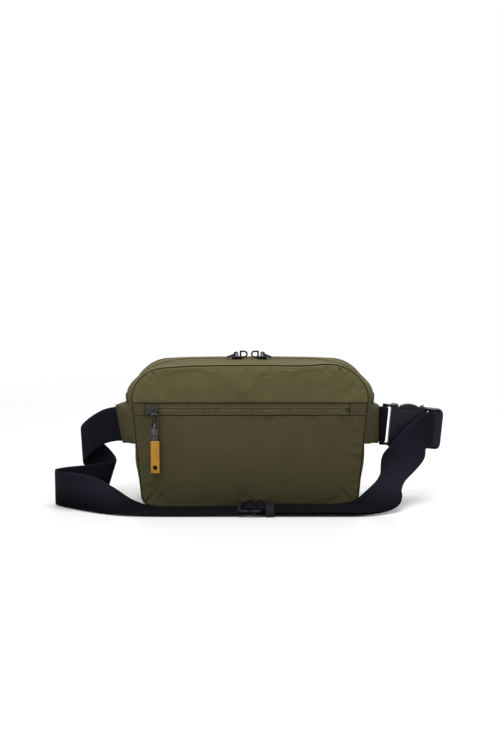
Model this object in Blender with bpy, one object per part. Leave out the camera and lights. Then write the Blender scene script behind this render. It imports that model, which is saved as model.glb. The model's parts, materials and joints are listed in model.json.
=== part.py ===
"""A fabric waist pack with a webbing belt, a side-release buckle and two zips.

Units are metres.  +X is the wearer's left seen from the front (right in a front view), -Y is the
front of the pack, +Z is up.  The origin is the middle of the flat base.
"""
import math

import bmesh
import bpy
from mathutils import Vector

# ---------------------------------------------------------------- driving dimensions
GAP = 0.0003                    # clearance between touching pieces
FABRIC = 0.0020                 # outer fabric with its backing
LINING = 0.0010

BAG_HEIGHT = 0.1515             # seam outline, base to top
BOTTOM_CORNER_X = 0.1135        # where the side line would meet the base
TOP_CORNER_X = 0.1275           # where the side line would meet the top
TOP_RADIUS = 0.035
BOTTOM_RADIUS = 0.012
DEPTH_HALF = 0.031              # half the gusset's depth
SIDE_CROWN_LOW = 0.0035         # how far the gusset swells outside the seams
SIDE_CROWN_HIGH = 0.0075
TOP_CROWN = 0.0030
CROWN_FROM_Z = 0.070
CROWN_TO_Z = 0.110

BAND_LOW = 0.0990               # front zip band
BAND_HIGH = 0.1120
FRONT_ZIP_Z = 0.1045
FRONT_ZIP_LEFT = -0.1110
FRONT_ZIP_RIGHT = 0.1048
CHAIN_HALF = 0.0016
TAPE_RECESS = 0.0007
POCKET_CROWN = 0.0036
UPPER_CROWN = 0.0020
FRONT_Y = -(DEPTH_HALF + GAP + FABRIC)

TOP_ZIP_END_Z = 0.1120          # the top zip runs over the top between these heights
TOP_TAPE_HALF = 0.0062

WEBBING_WIDTH = 0.038
WEBBING = 0.0015                # webbing thickness
BELT_Y = 0.0140                 # depth of the wings, belt and buckle
BELT_Z = 0.0810
WING_HALF_HEIGHT = 0.0210
WING_RIGHT_END = 0.1395
WING_LEFT_END = 0.1420
WING_LEFT_SLANT = 0.0036        # the left wing's outer edge leans by this over half its height
WING_THICK = 0.0110
WING_RISE = 0.0055              # the wings meet the pack this much higher than the belt
WING_REACH = 0.0060             # depth of the padded part next to the pack
WING_CLEARANCE = 0.0007
WING_SLOT_HALF = 0.0040
WING_SLOT_DEPTH = 0.0085

FRONT_RUN_Y = -0.0565           # belt lying on the floor in front of the pack
FLOOR_RUN_Z = 0.0012
RAISED_RUN_Z = 0.00237
LAYER_OFFSET = 0.00097

BUCKLE_BAR = (0.1422, 0.1467)   # female half, along X
BUCKLE_BODY = (0.1515, 0.1870)
BUCKLE_HALF_HEIGHT = 0.0235
BUCKLE_HALF_DEPTH = 0.0060
CAVITY_HALF_HEIGHT = 0.0195
CAVITY_HALF_DEPTH = 0.0036
WINDOW = (0.1590, 0.1760)
MALE_BASE = (0.1873, 0.1903)
MALE_INNER_BAR = (0.1940, 0.1970)
MALE_OUTER_BAR = (0.1993, 0.2080)
MALE_HALF_HEIGHT = 0.0220
MALE_HALF_DEPTH = 0.0045
BAR_HALF_DEPTH = 0.0025
SLOT_HALF_HEIGHT = 0.0198
PLASTIC_BEVEL = 0.0012
BUCKLE_DROOP = math.radians(5)  # the buckle hangs down towards its free end
DROOP_PIVOT = Vector((0.1400, BELT_Y, BELT_Z))

FRONT_SLIDER_X = -0.1025
PULL_X = -0.1000
PULL_AXIS_Y = -0.0386
PULL_AXIS_Z = 0.1012
LOOP_HALF_WIDTH = 0.0029
LOOP_BOTTOM_Z = 0.0905          # centre of the wire loop's lower arc
TAB_TOP = 0.0722
TAB_BOTTOM = 0.0380
TAB_HALF_WIDTH = 0.0047
TAB_HALF_THICK = 0.0014
EYELET_Z = 0.0442

TOP_SLIDER_LEFT_X = -0.0140
TOP_SLIDER_RIGHT_X = 0.0125

TRI_GLIDE_Z = (0.0052, 0.0072)
KEEPER_X = (0.0162, 0.0252)


# ---------------------------------------------------------------- materials
def linear(value):
    """One 0-255 sRGB channel as a linear value."""
    share = value / 255
    return share / 12.92 if share <= 0.04045 else ((share + 0.055) / 1.055) ** 2.4


def make_material(name, rgb, roughness, metallic=0.0):
    material = bpy.data.materials.new(name)
    material.use_nodes = True
    shader = material.node_tree.nodes["Principled BSDF"]
    colour = (linear(rgb[0]), linear(rgb[1]), linear(rgb[2]), 1.0)
    shader.inputs["Base Color"].default_value = colour
    shader.inputs["Roughness"].default_value = roughness
    shader.inputs["Metallic"].default_value = metallic
    material.diffuse_color = colour
    return material


OLIVE = ("olive_fabric", (92, 87, 60), 0.85)
OLIVE_TAPE = ("olive_zip_tape", (80, 76, 52), 0.8)
OLIVE_COIL = ("olive_zip_coil", (74, 70, 48), 0.45)
LINING_CLOTH = ("lining_cloth", (70, 72, 74), 0.8)
FOAM = ("foam", (60, 60, 62), 0.95)
NAVY_WEBBING = ("navy_webbing", (36, 37, 47), 0.8)
BLACK_PLASTIC = ("black_plastic", (30, 31, 38), 0.45)
GUNMETAL = ("gunmetal", (92, 92, 96), 0.35, 1.0)
CORD_GREY = ("grey_cord", (116, 112, 126), 0.7)
LEATHER = ("mustard_leather", (190, 140, 52), 0.5)


# ---------------------------------------------------------------- solids
def add_object(name, build, finish, origin=(0, 0, 0), smooth=True):
    """A named object from a function that fills a bmesh in world coordinates."""
    origin = Vector(origin)
    bm = bmesh.new()
    build(bm)
    bmesh.ops.recalc_face_normals(bm, faces=bm.faces)
    if bm.calc_volume(signed=True) < 0:
        bmesh.ops.reverse_faces(bm, faces=bm.faces)
    for vert in bm.verts:
        vert.co -= origin
    mesh = bpy.data.meshes.new(name)
    bm.to_mesh(mesh)
    bm.free()
    if smooth:
        mesh.shade_smooth()
        mesh.set_sharp_from_angle(angle=math.radians(35))
    mesh.materials.append(make_material(name + "_" + finish[0], *finish[1:]))
    item = bpy.data.objects.new(name, mesh)
    item.location = origin
    bpy.context.scene.collection.objects.link(item)
    return item


def boolean(item, build, operation, label):
    """Apply a Boolean with a helper solid, then remove the helper."""
    helper = add_object(label, build, BLACK_PLASTIC, smooth=False)
    modifier = item.modifiers.new(label, "BOOLEAN")
    modifier.operation = operation
    modifier.solver = "EXACT"
    modifier.object = helper
    bpy.context.view_layer.update()
    graph = bpy.context.evaluated_depsgraph_get()
    mesh = bpy.data.meshes.new_from_object(item.evaluated_get(graph))
    item.modifiers.remove(modifier)
    mesh.materials.clear()
    mesh.materials.append(item.data.materials[0])
    item.data = mesh
    bpy.data.objects.remove(helper)


def loft(bm, rings, closed=False):
    """Skin rings of equal length; open lofts get flat caps at both ends."""
    rows = [[bm.verts.new(point) for point in ring] for ring in rings]
    count = len(rows[0])
    pairs = list(zip(rows, rows[1:]))
    if closed:
        pairs.append((rows[-1], rows[0]))
    for low, high in pairs:
        for i in range(count):
            j = (i + 1) % count
            bm.faces.new((low[i], low[j], high[j], high[i]))
    if not closed:
        bm.faces.new(rows[0][::-1])
        bm.faces.new(rows[-1])


def box(bm, low, high):
    corners = [(low[0], low[1]), (high[0], low[1]), (high[0], high[1]), (low[0], high[1])]
    loft(bm, [[(x, y, low[2]) for x, y in corners], [(x, y, high[2]) for x, y in corners]])


def bevelled_box(bm, low, high, width, segments=2):
    box(bm, low, high)
    bmesh.ops.bevel(bm, geom=list(bm.edges), offset=width, segments=segments, affect="EDGES",
                    profile=0.5)


def prism_xz(bm, outline, y_low, y_high):
    """An outline in X and Z, extruded along Y."""
    loft(bm, [[(x, y, z) for x, z in outline] for y in (y_low, y_high)])


def smooth_points(points, per_span):
    """Catmull-Rom points through a list of vectors."""
    points = [Vector(p) for p in points]
    ends = [points[0] * 2 - points[1]] + points + [points[-1] * 2 - points[-2]]
    result = []
    for i in range(1, len(ends) - 2):
        a, b, c, d = ends[i - 1:i + 3]
        for step in range(per_span):
            t = step / per_span
            result.append(0.5 * (2 * b + (c - a) * t + (2 * a - 5 * b + 4 * c - d) * t ** 2
                                 + (3 * b - a - 3 * c + d) * t ** 3))
    result.append(points[-1])
    return result


def tube(bm, points, radius, sides=8, closed=False):
    """A round wire or cord along points."""
    count = len(points)
    rings = []
    side = None
    for i, point in enumerate(points):
        before = points[(i - 1) % count] if closed or i else point
        after = points[(i + 1) % count] if closed or i < count - 1 else point
        tangent = (Vector(after) - Vector(before)).normalized()
        if side is None:
            side = tangent.orthogonal().normalized()
        side = (side - side.dot(tangent) * tangent).normalized()
        other = tangent.cross(side)
        rings.append([Vector(point) + radius * (side * math.cos(2 * math.pi * k / sides)
                                                + other * math.sin(2 * math.pi * k / sides))
                      for k in range(sides)])
    loft(bm, rings, closed)


def ribbon(bm, stations, per_span=4, offset=0.0, thickness=WEBBING):
    """Webbing through stations of (centre, width direction), shifted by offset along its face."""
    centres = smooth_points([s[0] for s in stations], per_span)
    widths = smooth_points([s[1] for s in stations], per_span)
    rings = []
    for i, centre in enumerate(centres):
        tangent = centres[min(i + 1, len(centres) - 1)] - centres[max(i - 1, 0)]
        across = widths[i].normalized() * (WEBBING_WIDTH / 2)
        normal = tangent.cross(across).normalized()
        middle = centre + normal * offset
        half = normal * (thickness / 2)
        rings.append([middle - across - half, middle + across - half,
                      middle + across + half, middle - across + half])
    loft(bm, rings)


# ---------------------------------------------------------------- the pack's outline
def fillet(corner, before, after, radius, steps):
    """Points of the arc that rounds a corner between two straight lines."""
    corner, before, after = Vector(corner), Vector(before), Vector(after)
    into = (before - corner).normalized()
    out = (after - corner).normalized()
    half_angle = into.angle(out) / 2
    reach = radius / math.tan(half_angle)
    centre = corner + (into + out).normalized() * (radius / math.sin(half_angle))
    start = corner + into * reach - centre
    sweep = math.pi - 2 * half_angle
    turn = 1 if start.y * into.x - start.x * into.y > 0 else -1
    points = []
    for i in range(steps + 1):
        angle = turn * sweep * i / steps
        points.append(centre + Vector((start.x * math.cos(angle) - start.y * math.sin(angle),
                                       start.x * math.sin(angle) + start.y * math.cos(angle))))
    return points


def half_outline():
    """Right half of the seam outline, bottom middle to top middle, as (x, z) vectors."""
    bottom = Vector((BOTTOM_CORNER_X, 0))
    top = Vector((TOP_CORNER_X, BAG_HEIGHT))
    low_arc = fillet(bottom, (0, 0), top, BOTTOM_RADIUS, 5)
    high_arc = fillet(top, bottom, (0, BAG_HEIGHT), TOP_RADIUS, 8)
    start, end = low_arc[-1], high_arc[0]
    heights = [0.030, 0.050, 0.060, 0.070, 0.080, 0.090, 0.100, TOP_ZIP_END_Z]
    side = [start.lerp(end, (z - start.y) / (end.y - start.y)) for z in heights]
    base = [low_arc[0] * (i / 5) for i in range(5)]
    crest_end = high_arc[-1]
    crest = [Vector((crest_end.x * (1 - i / 6), BAG_HEIGHT)) for i in range(1, 7)]
    return base + low_arc + side + high_arc + crest


def with_normals(points):
    """(point, outward normal) pairs for the right half outline."""
    result = []
    for i, point in enumerate(points):
        before = points[i - 1] if i else Vector((-points[1].x, points[1].y))
        after = points[i + 1] if i < len(points) - 1 else Vector((-points[-2].x, points[-2].y))
        along = (after - before).normalized()
        result.append((point, Vector((along.y, -along.x))))
    return result


OUTLINE = with_normals(half_outline())


def mirrored(pairs):
    return [(Vector((-p.x, p.y)), Vector((-n.x, n.y))) for p, n in pairs]


def lower_path():
    """From the left end of the top zip down, under the pack and up to the right end."""
    right = [(p, n) for p, n in OUTLINE if p.y <= TOP_ZIP_END_Z + 1e-6]
    last_point, last_normal = right[-1]
    right[-1] = (last_point - Vector((0, GAP)), last_normal)
    return mirrored(right[:0:-1]) + right


def upper_path():
    """From the right end of the top zip over the top to the left end."""
    right = [(p, n) for p, n in OUTLINE if p.y >= TOP_ZIP_END_Z - 1e-6]
    return right + mirrored(right[-2::-1])


def inset_outline(inset):
    """The right half outline, moved inwards from the seam."""
    return [point - normal * inset for point, normal in OUTLINE]


def seam_half_width(z, inset=0.0):
    """Half the pack's width at its seam, or at a line set in from it, at height z."""
    points = inset_outline(inset)
    for low, high in zip(points, points[1:]):
        if low.y <= z <= high.y and high.y > low.y:
            return low.x + (high.x - low.x) * (z - low.y) / (high.y - low.y)
    return max(point.x for point in points if point.y <= z + 1e-6)


def ease(value):
    value = min(max(value, 0.0), 1.0)
    return value * value * (3 - 2 * value)


def gusset_crown(z, normal_z, y):
    """How far the gusset stands outside the seam outline at depth y; least at the corners."""
    rise = ease((z - CROWN_FROM_Z) / (CROWN_TO_Z - CROWN_FROM_Z))
    side = SIDE_CROWN_LOW + (SIDE_CROWN_HIGH - SIDE_CROWN_LOW) * rise
    amount = side * (1 - normal_z ** 2) ** 2
    if normal_z > 0:
        amount += TOP_CROWN * normal_z ** 4
    return amount * (1 - (y / DEPTH_HALF) ** 2)


def side_x(z, y):
    """Outer face of the side gusset."""
    return seam_half_width(z) + gusset_crown(z, 0.0, y)


def front_crown(x, z):
    """How far the front swells forward of its flat plane; the zip band stays flat."""
    across = max(0.0, 1 - abs(x / seam_half_width(z)) ** 3)
    if z < BAND_LOW:
        return POCKET_CROWN * across * max(0.0, math.sin(math.pi * z / BAND_LOW)) ** 1.2
    if z > BAND_HIGH:
        share = (z - BAND_HIGH) / (BAG_HEIGHT - BAND_HIGH)
        return UPPER_CROWN * across * max(0.0, math.sin(math.pi * min(share, 1.0)))
    return 0.0


# ---------------------------------------------------------------- sewn fabric pieces
def swept_strip(path, y_low, y_high, outer, thickness, cells=4):
    """A strip that follows the outline, its outer face set in from the crown by outer."""
    depths = [y_low + (y_high - y_low) * i / cells for i in range(cells + 1)]

    def build(bm):
        rings = []
        for point, normal in path:
            ring = []
            for inset, order in ((outer, depths), (outer + thickness, depths[::-1])):
                for y in order:
                    lift = gusset_crown(point.y, normal.y, y) - inset
                    ring.append((point.x + normal.x * lift, y, point.y + normal.y * lift))
            rings.append(ring)
        loft(bm, rings)
    return build


def front_sheet(z_low, z_high, x_low=None, x_high=None, front=FRONT_Y, thickness=FABRIC, cells=12,
                inset=0.0, crowned=True):
    """A sheet across the front between two heights, from seam to seam unless x is given."""
    heights = [p.y for p in inset_outline(inset)]
    rows = [z_low] + [z for z in heights if z_low + 1e-4 < z < z_high - 1e-4] + [z_high]

    def build(bm):
        rings = []
        for z in rows:
            half = seam_half_width(z, inset)
            left = -half if x_low is None else x_low
            right = half if x_high is None else x_high
            xs = [left + (right - left) * i / cells for i in range(cells + 1)]
            depth = [front - (front_crown(x, z) if crowned else 0.0) for x in xs]
            rings.append([(x, y, z) for x, y in zip(xs, depth)]
                         + [(x, y + thickness, z) for x, y in zip(xs[::-1], depth[::-1])])
        loft(bm, rings)
    return build


def lining_tub(bm):
    """The main compartment's lining: a thin tub, open under the top zip."""
    clearance = 0.0056
    front, back = -0.0195, 0.0235
    outer_rows = [0.0058, 0.009, 0.014, 0.030, 0.070, 0.112, 0.126, 0.134, 0.140]
    wall = LINING

    def ring(z, inset):
        half = seam_half_width(z, clearance + inset)
        return [(-half, front + inset, z), (half, front + inset, z),
                (half, back - inset, z), (-half, back - inset, z)]
    outer = [ring(z, 0.0) for z in outer_rows]
    inner = [ring(z + (wall if z == outer_rows[0] else 0.0), wall) for z in outer_rows]
    loft(bm, outer + inner[::-1])


def make_fabric_shell():
    add_object("front_upper_panel", front_sheet(BAND_HIGH + GAP, BAG_HEIGHT), OLIVE)
    add_object("front_pocket_panel", front_sheet(0.0004, BAND_LOW - GAP), OLIVE)
    add_object("front_zip_end_left",
               front_sheet(BAND_LOW, BAND_HIGH, None, FRONT_ZIP_LEFT - GAP, cells=2), OLIVE)
    add_object("front_zip_end_right",
               front_sheet(BAND_LOW, BAND_HIGH, FRONT_ZIP_RIGHT + GAP, None, cells=2), OLIVE)
    tape_front = FRONT_Y + TAPE_RECESS
    tape_thick = 0.0010
    chain_low = FRONT_ZIP_Z - CHAIN_HALF
    chain_high = FRONT_ZIP_Z + CHAIN_HALF
    stop_x = FRONT_ZIP_RIGHT - 0.0040
    add_object("front_zip_tape_upper",
               front_sheet(chain_high + GAP, BAND_HIGH, FRONT_ZIP_LEFT, FRONT_ZIP_RIGHT,
                           tape_front, tape_thick), OLIVE_TAPE)
    add_object("front_zip_tape_lower",
               front_sheet(BAND_LOW, chain_low - GAP, FRONT_ZIP_LEFT, FRONT_ZIP_RIGHT,
                           tape_front, tape_thick), OLIVE_TAPE)
    add_object("front_zip_chain",
               front_sheet(chain_low, chain_high, FRONT_ZIP_LEFT, stop_x - GAP,
                           tape_front, 0.0016), OLIVE_COIL)
    add_object("front_zip_stop",
               lambda bm: bevelled_box(bm, (stop_x, tape_front - 0.0002, chain_low - GAP / 2),
                                       (stop_x + 0.0030, tape_front + 0.0016, chain_high + GAP / 2),
                                       0.0003), GUNMETAL)
    add_object("front_pocket_lining",
               front_sheet(0.0055, 0.1400, front=-0.0212, thickness=LINING, inset=0.0050,
                           crowned=False), LINING_CLOTH)
    half = DEPTH_HALF
    add_object("lower_gusset", swept_strip(lower_path(), -half, half, 0.0, FABRIC), OLIVE)
    add_object("top_gusset_front",
               swept_strip(upper_path(), -half, -TOP_TAPE_HALF - GAP, 0.0, FABRIC), OLIVE)
    add_object("top_gusset_back",
               swept_strip(upper_path(), TOP_TAPE_HALF + GAP, half, 0.0, FABRIC), OLIVE)
    tape_in = CHAIN_HALF + GAP
    add_object("top_zip_tape_front",
               swept_strip(upper_path(), -TOP_TAPE_HALF, -tape_in, 0.0005, 0.0010, 1), OLIVE_TAPE)
    add_object("top_zip_tape_back",
               swept_strip(upper_path(), tape_in, TOP_TAPE_HALF, 0.0005, 0.0010, 1), OLIVE_TAPE)
    add_object("top_zip_chain",
               swept_strip(upper_path(), -CHAIN_HALF, CHAIN_HALF, 0.0, 0.0016, 1), OLIVE_COIL)
    bind_inset, bind_thick, bind_width = FABRIC + GAP, 0.0008, 0.0050
    loop = lower_path() + upper_path()[1:-1]

    def binding(y_low):
        def build(bm):
            rings = []
            for point, normal in loop:
                ring = []
                corners = ((bind_inset, y_low), (bind_inset, y_low + bind_width),
                           (bind_inset + bind_thick, y_low + bind_width),
                           (bind_inset + bind_thick, y_low))
                for inset, y in corners:
                    ring.append((point.x - normal.x * inset, y, point.y - normal.y * inset))
                rings.append(ring)
            loft(bm, rings, closed=True)
        return build
    add_object("seam_binding_front", binding(-half), OLIVE_TAPE)
    add_object("seam_binding_back", binding(half - bind_width), OLIVE_TAPE)
    add_object("main_lining", lining_tub, LINING_CLOTH)
    add_object("back_foam",
               front_sheet(0.0050, 0.1450, front=0.0241, thickness=0.0060, inset=0.0045, cells=4,
                           crowned=False), FOAM)
    add_object("back_panel",
               front_sheet(0.0004, BAG_HEIGHT, front=half + GAP, thickness=FABRIC, cells=4,
                           crowned=False), OLIVE)


def make_zip_end_tab(name, sign):
    """The folded patch that covers the top zip's end above a wing."""
    low = BELT_Z + WING_HALF_HEIGHT + WING_RISE + 0.0008
    middle, high = TOP_ZIP_END_Z, TOP_ZIP_END_Z + 0.0055
    half, thick = 0.0080, 0.0016

    def build(bm):
        rings = []
        for z in (low, middle, high):
            inner = [side_x(z, y) + GAP for y in (-half, 0.0, half)]
            ring = [(sign * x, y, z) for x, y in zip(inner, (-half, 0.0, half))]
            ring += [(sign * (inner[1] + thick), y, z) for y in (0.75 * half, -0.75 * half)]
            rings.append(ring)
        loft(bm, rings)
    add_object(name, build, OLIVE)


def make_wing(name, sign, end_x, slant):
    """A padded wedge that slopes from the side gusset down to the belt, slotted for webbing."""
    depths = [-0.0290, -DEPTH_HALF / 2, 0.0, DEPTH_HALF / 2, 0.0280]
    heights = [-WING_HALF_HEIGHT, -0.007, 0.007, WING_HALF_HEIGHT]
    front, back = BELT_Y - WING_THICK / 2, BELT_Y + WING_THICK / 2
    front_step, back_step = 0.0130, 0.0045
    near_share = 0.6

    def build(bm):
        rings = []
        for height in heights:
            z = BELT_Z + height
            root = z + WING_RISE
            near = z + WING_RISE * near_share
            lean = slant * height / WING_HALF_HEIGHT
            near_x = side_x(near, 0.0) + WING_REACH
            ring = [(side_x(root, y) + WING_CLEARANCE, y, root) for y in depths]
            ring += [(near_x, back + back_step, near), (end_x + lean, back, z),
                     (end_x + lean, front, z), (near_x, front - front_step, near)]
            rings.append([(sign * x, y, z) for x, y, z in ring])
        loft(bm, rings)
        bmesh.ops.triangulate(bm, faces=bm.faces)
    wing = add_object(name, build, OLIVE)
    clear = 0.0004

    def slot(bm):
        xs = sorted((sign * (end_x - WING_SLOT_DEPTH), sign * (end_x + 0.0100)))
        box(bm, (xs[0], BELT_Y - WING_SLOT_HALF, BELT_Z - WEBBING_WIDTH / 2 - clear),
            (xs[1], BELT_Y + WING_SLOT_HALF, BELT_Z + WEBBING_WIDTH / 2 + clear))
    boolean(wing, slot, "DIFFERENCE", name + "_slot")


# ---------------------------------------------------------------- belt webbing
LEFT_RUN = [
    ((-0.1345, BELT_Y, BELT_Z), (0, 0, 1)),
    ((-0.1400, BELT_Y, BELT_Z), (0, 0, 1)),
    ((-0.1475, BELT_Y, 0.0806), (0, 0, 1)),
    ((-0.1600, 0.0130, 0.0772), (-0.02, 0, 1)),
    ((-0.1740, 0.0110, 0.0680), (-0.08, 0, 1)),
    ((-0.1828, 0.0170, 0.0568), (-0.05, 0, 1)),
    ((-0.1750, 0.0250, 0.0470), (0.15, 0, 1)),
    ((-0.1620, 0.0270, 0.0340), (0.35, 0, 0.94)),
    ((-0.1518, 0.0180, 0.0215), (0.30, 0, 0.95)),
    ((-0.1635, 0.0080, 0.0200), (0.10, 0, 1)),
    ((-0.1780, -0.0020, 0.0196), (0, 0, 1)),
    ((-0.1960, -0.0100, 0.0195), (0, 0, 1)),
    ((-0.2075, -0.0215, 0.0195), (0, 0, 1)),
    ((-0.2000, -0.0340, 0.0195), (0, 0, 1)),
    ((-0.1850, -0.0420, 0.0193), (0, 0.17, 0.98)),
    ((-0.1650, -0.0485, 0.0173), (0, 0.50, 0.87)),
    ((-0.1450, -0.0525, 0.0118), (0, 0.82, 0.57)),
    ((-0.1250, -0.0550, 0.0053), (0, 0.98, 0.20)),
    ((-0.1050, -0.0562, 0.0018), (0, 1, 0.02)),
    ((-0.0800, FRONT_RUN_Y, FLOOR_RUN_Z), (0, 1, 0)),
    ((-0.0600, FRONT_RUN_Y, FLOOR_RUN_Z), (0, 1, 0)),
]

RISING_RUN = [
    ((0.0604, FRONT_RUN_Y, RAISED_RUN_Z + LAYER_OFFSET), (0, 1, 0)),
    ((0.0900, FRONT_RUN_Y, RAISED_RUN_Z + LAYER_OFFSET), (0, 1, 0)),
    ((0.1120, -0.0560, 0.0046), (-0.20, 0.97, 0.10)),
    ((0.1250, -0.0535, 0.0072), (-0.45, 0.86, 0.22)),
    ((0.1356, -0.0490, 0.0112), (-0.66, 0.66, 0.34)),
    ((0.1450, -0.0420, 0.0172), (-0.62, 0.62, 0.47)),
    ((0.1496, -0.0340, 0.0235), (-0.57, 0.66, 0.48)),
    ((0.1503, -0.0260, 0.0304), (-0.53, 0.69, 0.48)),
    ((0.1539, -0.0190, 0.0392), (-0.62, 0.55, 0.55)),
    ((0.1648, -0.0130, 0.0502), (-0.78, 0.20, 0.59)),
    ((0.1764, -0.0050, 0.0618), (-0.57, 0.02, 0.82)),
    ((0.1861, 0.0026, 0.0729), (-0.165, 0, 0.986)),
]


def hung(point):
    """A point of the straight buckle, turned down about the end of the wing."""
    away = Vector(point) - DROOP_PIVOT
    cos, sin = math.cos(BUCKLE_DROOP), math.sin(BUCKLE_DROOP)
    return DROOP_PIVOT + Vector((away.x * cos + away.z * sin, away.y, away.z * cos - away.x * sin))


def hung_path(stations):
    """Webbing stations that turn down with the buckle."""
    return [(hung(centre), hung(DROOP_PIVOT + Vector(width)) - DROOP_PIVOT)
            for centre, width in stations]


def adjuster_path():
    """Under the left bar, over the middle bar and under the right bar of the tri-glide."""
    flat, raised, over = FLOOR_RUN_Z, RAISED_RUN_Z, 0.00835
    profile = [(-0.0597, flat), (-0.050, flat), (-0.038, 0.0017), (-0.026, raised), (-0.014, raised),
               (-0.0090, 0.0029), (-0.0060, 0.0057), (-0.0030, 0.0080), (0.0, over),
               (0.0030, 0.0080), (0.0056, 0.0050), (0.0078, 0.0026), (0.012, raised),
               (0.016, raised), (0.040, raised), (0.0600, raised)]
    return [((x, FRONT_RUN_Y, z), (0, 1, 0)) for x, z in profile]


def return_path():
    """The doubled layer's sewn end: in over the right bar of the tri-glide and back."""
    upper = RAISED_RUN_Z + 2 * LAYER_OFFSET
    profile = [(0.0600, upper), (0.0400, upper), (0.0180, upper), (0.0130, 0.00422),
               (0.0103, 0.00418), (0.0086, 0.0048), (0.0079, 0.0062), (0.0086, 0.0077),
               (0.0104, 0.0083), (0.0125, 0.0082), (0.0138, 0.0073), (0.0150, 0.0064)]
    return [((x, FRONT_RUN_Y, z), (0, 1, 0)) for x, z in profile]


def buckle_loop_path():
    """Round the inner bar of the male half: in front, through the slot, behind and back."""
    slot_right = MALE_INNER_BAR[1] + 0.0011
    slot_left = MALE_INNER_BAR[0] - 0.0011
    back = BELT_Y + BAR_HALF_DEPTH + 0.0011
    middle = (MALE_INNER_BAR[0] + MALE_INNER_BAR[1]) / 2
    turn = 0.0010
    profile = [(0.1880, 0.0022, 0.0778, -0.23), (0.1905, 0.0036, 0.0793, -0.12),
               (0.1945, 0.0056, 0.0806, -0.03), (0.1974, 0.0082, BELT_Z, 0),
               (slot_right, 0.0115, BELT_Z, 0), (slot_right, 0.0150, BELT_Z, 0),
               (slot_right - 0.0001, back - turn, BELT_Z, 0), (slot_right - turn, back, BELT_Z, 0),
               (middle, back + 0.0002, BELT_Z, 0), (slot_left + turn, back, BELT_Z, 0),
               (slot_left + 0.0001, back - turn, BELT_Z, 0), (slot_left, 0.0150, BELT_Z, 0),
               (slot_left, 0.0115, BELT_Z, 0), (0.1918, 0.0087, 0.0809, 0),
               (0.1898, 0.0067, 0.0799, -0.10), (0.1880, 0.0050, 0.0782, -0.23)]
    return hung_path([((x, y, z), (lean, 0, 1)) for x, y, z, lean in profile])


def bar_loop_path():
    """The short webbing loop from the right wing round the female half's bar."""
    start = WING_RIGHT_END - 0.0078
    near = WEBBING / 2 + 0.0002
    wide = BAR_HALF_DEPTH + GAP + WEBBING / 2 + 0.0001
    turn = BUCKLE_BAR[1] + GAP + WEBBING / 2 + 0.0001
    half = [(start, near + 0.0008), (WING_RIGHT_END - 0.0005, near + 0.0008),
            (BUCKLE_BAR[0] - 0.0007, wide - 0.0004), (BUCKLE_BAR[0] + 0.0004, wide),
            (BUCKLE_BAR[1] - 0.0020, wide),
            (turn - 0.0012, wide - 0.0002), (turn - 0.0002, wide - 0.0011), (turn, 0.0012)]
    profile = [(x, -y) for x, y in half] + half[::-1]
    straight = [((x, BELT_Y + y, BELT_Z), (0, 0, 1)) for x, y in profile]
    turned = hung_path(straight)
    return [turned[i] if profile[i][0] > WING_RIGHT_END else straight[i]
            for i in range(len(profile))]


def make_belt():
    layer = LAYER_OFFSET
    add_object("belt_left_run", lambda bm: ribbon(bm, LEFT_RUN), NAVY_WEBBING)
    add_object("belt_adjuster_run", lambda bm: ribbon(bm, adjuster_path(), 3), NAVY_WEBBING)
    add_object("belt_right_run", lambda bm: ribbon(bm, RISING_RUN, 3, -layer), NAVY_WEBBING)
    add_object("belt_return_run", lambda bm: ribbon(bm, RISING_RUN, 3, layer), NAVY_WEBBING)
    add_object("belt_return_end", lambda bm: ribbon(bm, return_path(), 3), NAVY_WEBBING)
    add_object("belt_buckle_loop", lambda bm: ribbon(bm, buckle_loop_path(), 3), NAVY_WEBBING,
               origin=hung((MALE_INNER_BAR[0], BELT_Y, BELT_Z)))
    add_object("buckle_bar_loop", lambda bm: ribbon(bm, bar_loop_path(), 3), NAVY_WEBBING)


# ---------------------------------------------------------------- side-release buckle
def hang(item):
    """Turn a finished buckle piece down with the rest of the buckle."""
    away = item.location - DROOP_PIVOT
    for vert in item.data.vertices:
        vert.co = hung(DROOP_PIVOT + vert.co) - DROOP_PIVOT
    item.location = hung(DROOP_PIVOT + away)


def frame_box(x_pair, half_y, half_z):
    """Low and high corners of a block centred on the belt line."""
    return ((x_pair[0], BELT_Y - half_y, BELT_Z - half_z),
            (x_pair[1], BELT_Y + half_y, BELT_Z + half_z))


def make_buckle_female():
    bar, body = BUCKLE_BAR, BUCKLE_BODY
    through = 0.02
    mouth_wall = 0.0040
    item = add_object("buckle_female",
                      lambda bm: bevelled_box(bm, *frame_box(body, BUCKLE_HALF_DEPTH,
                                                             BUCKLE_HALF_HEIGHT), PLASTIC_BEVEL),
                      BLACK_PLASTIC)

    def bar_frame(bm):
        bevelled_box(bm, *frame_box((bar[0], body[0] + 0.0030), BAR_HALF_DEPTH,
                                    BUCKLE_HALF_HEIGHT - 0.001), 0.0010, 3)
    boolean(item, bar_frame, "UNION", "bar_frame")
    boolean(item, lambda bm: box(bm, *frame_box((bar[1], body[0]), through, SLOT_HALF_HEIGHT)),
            "DIFFERENCE", "strap_slot")
    boolean(item, lambda bm: box(bm, *frame_box((body[0] + mouth_wall, body[1] + mouth_wall),
                                                CAVITY_HALF_DEPTH, CAVITY_HALF_HEIGHT)),
            "DIFFERENCE", "cavity")
    boolean(item, lambda bm: box(bm, *frame_box(WINDOW, CAVITY_HALF_DEPTH, through + 0.01)),
            "DIFFERENCE", "windows")
    hang(item)


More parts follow.
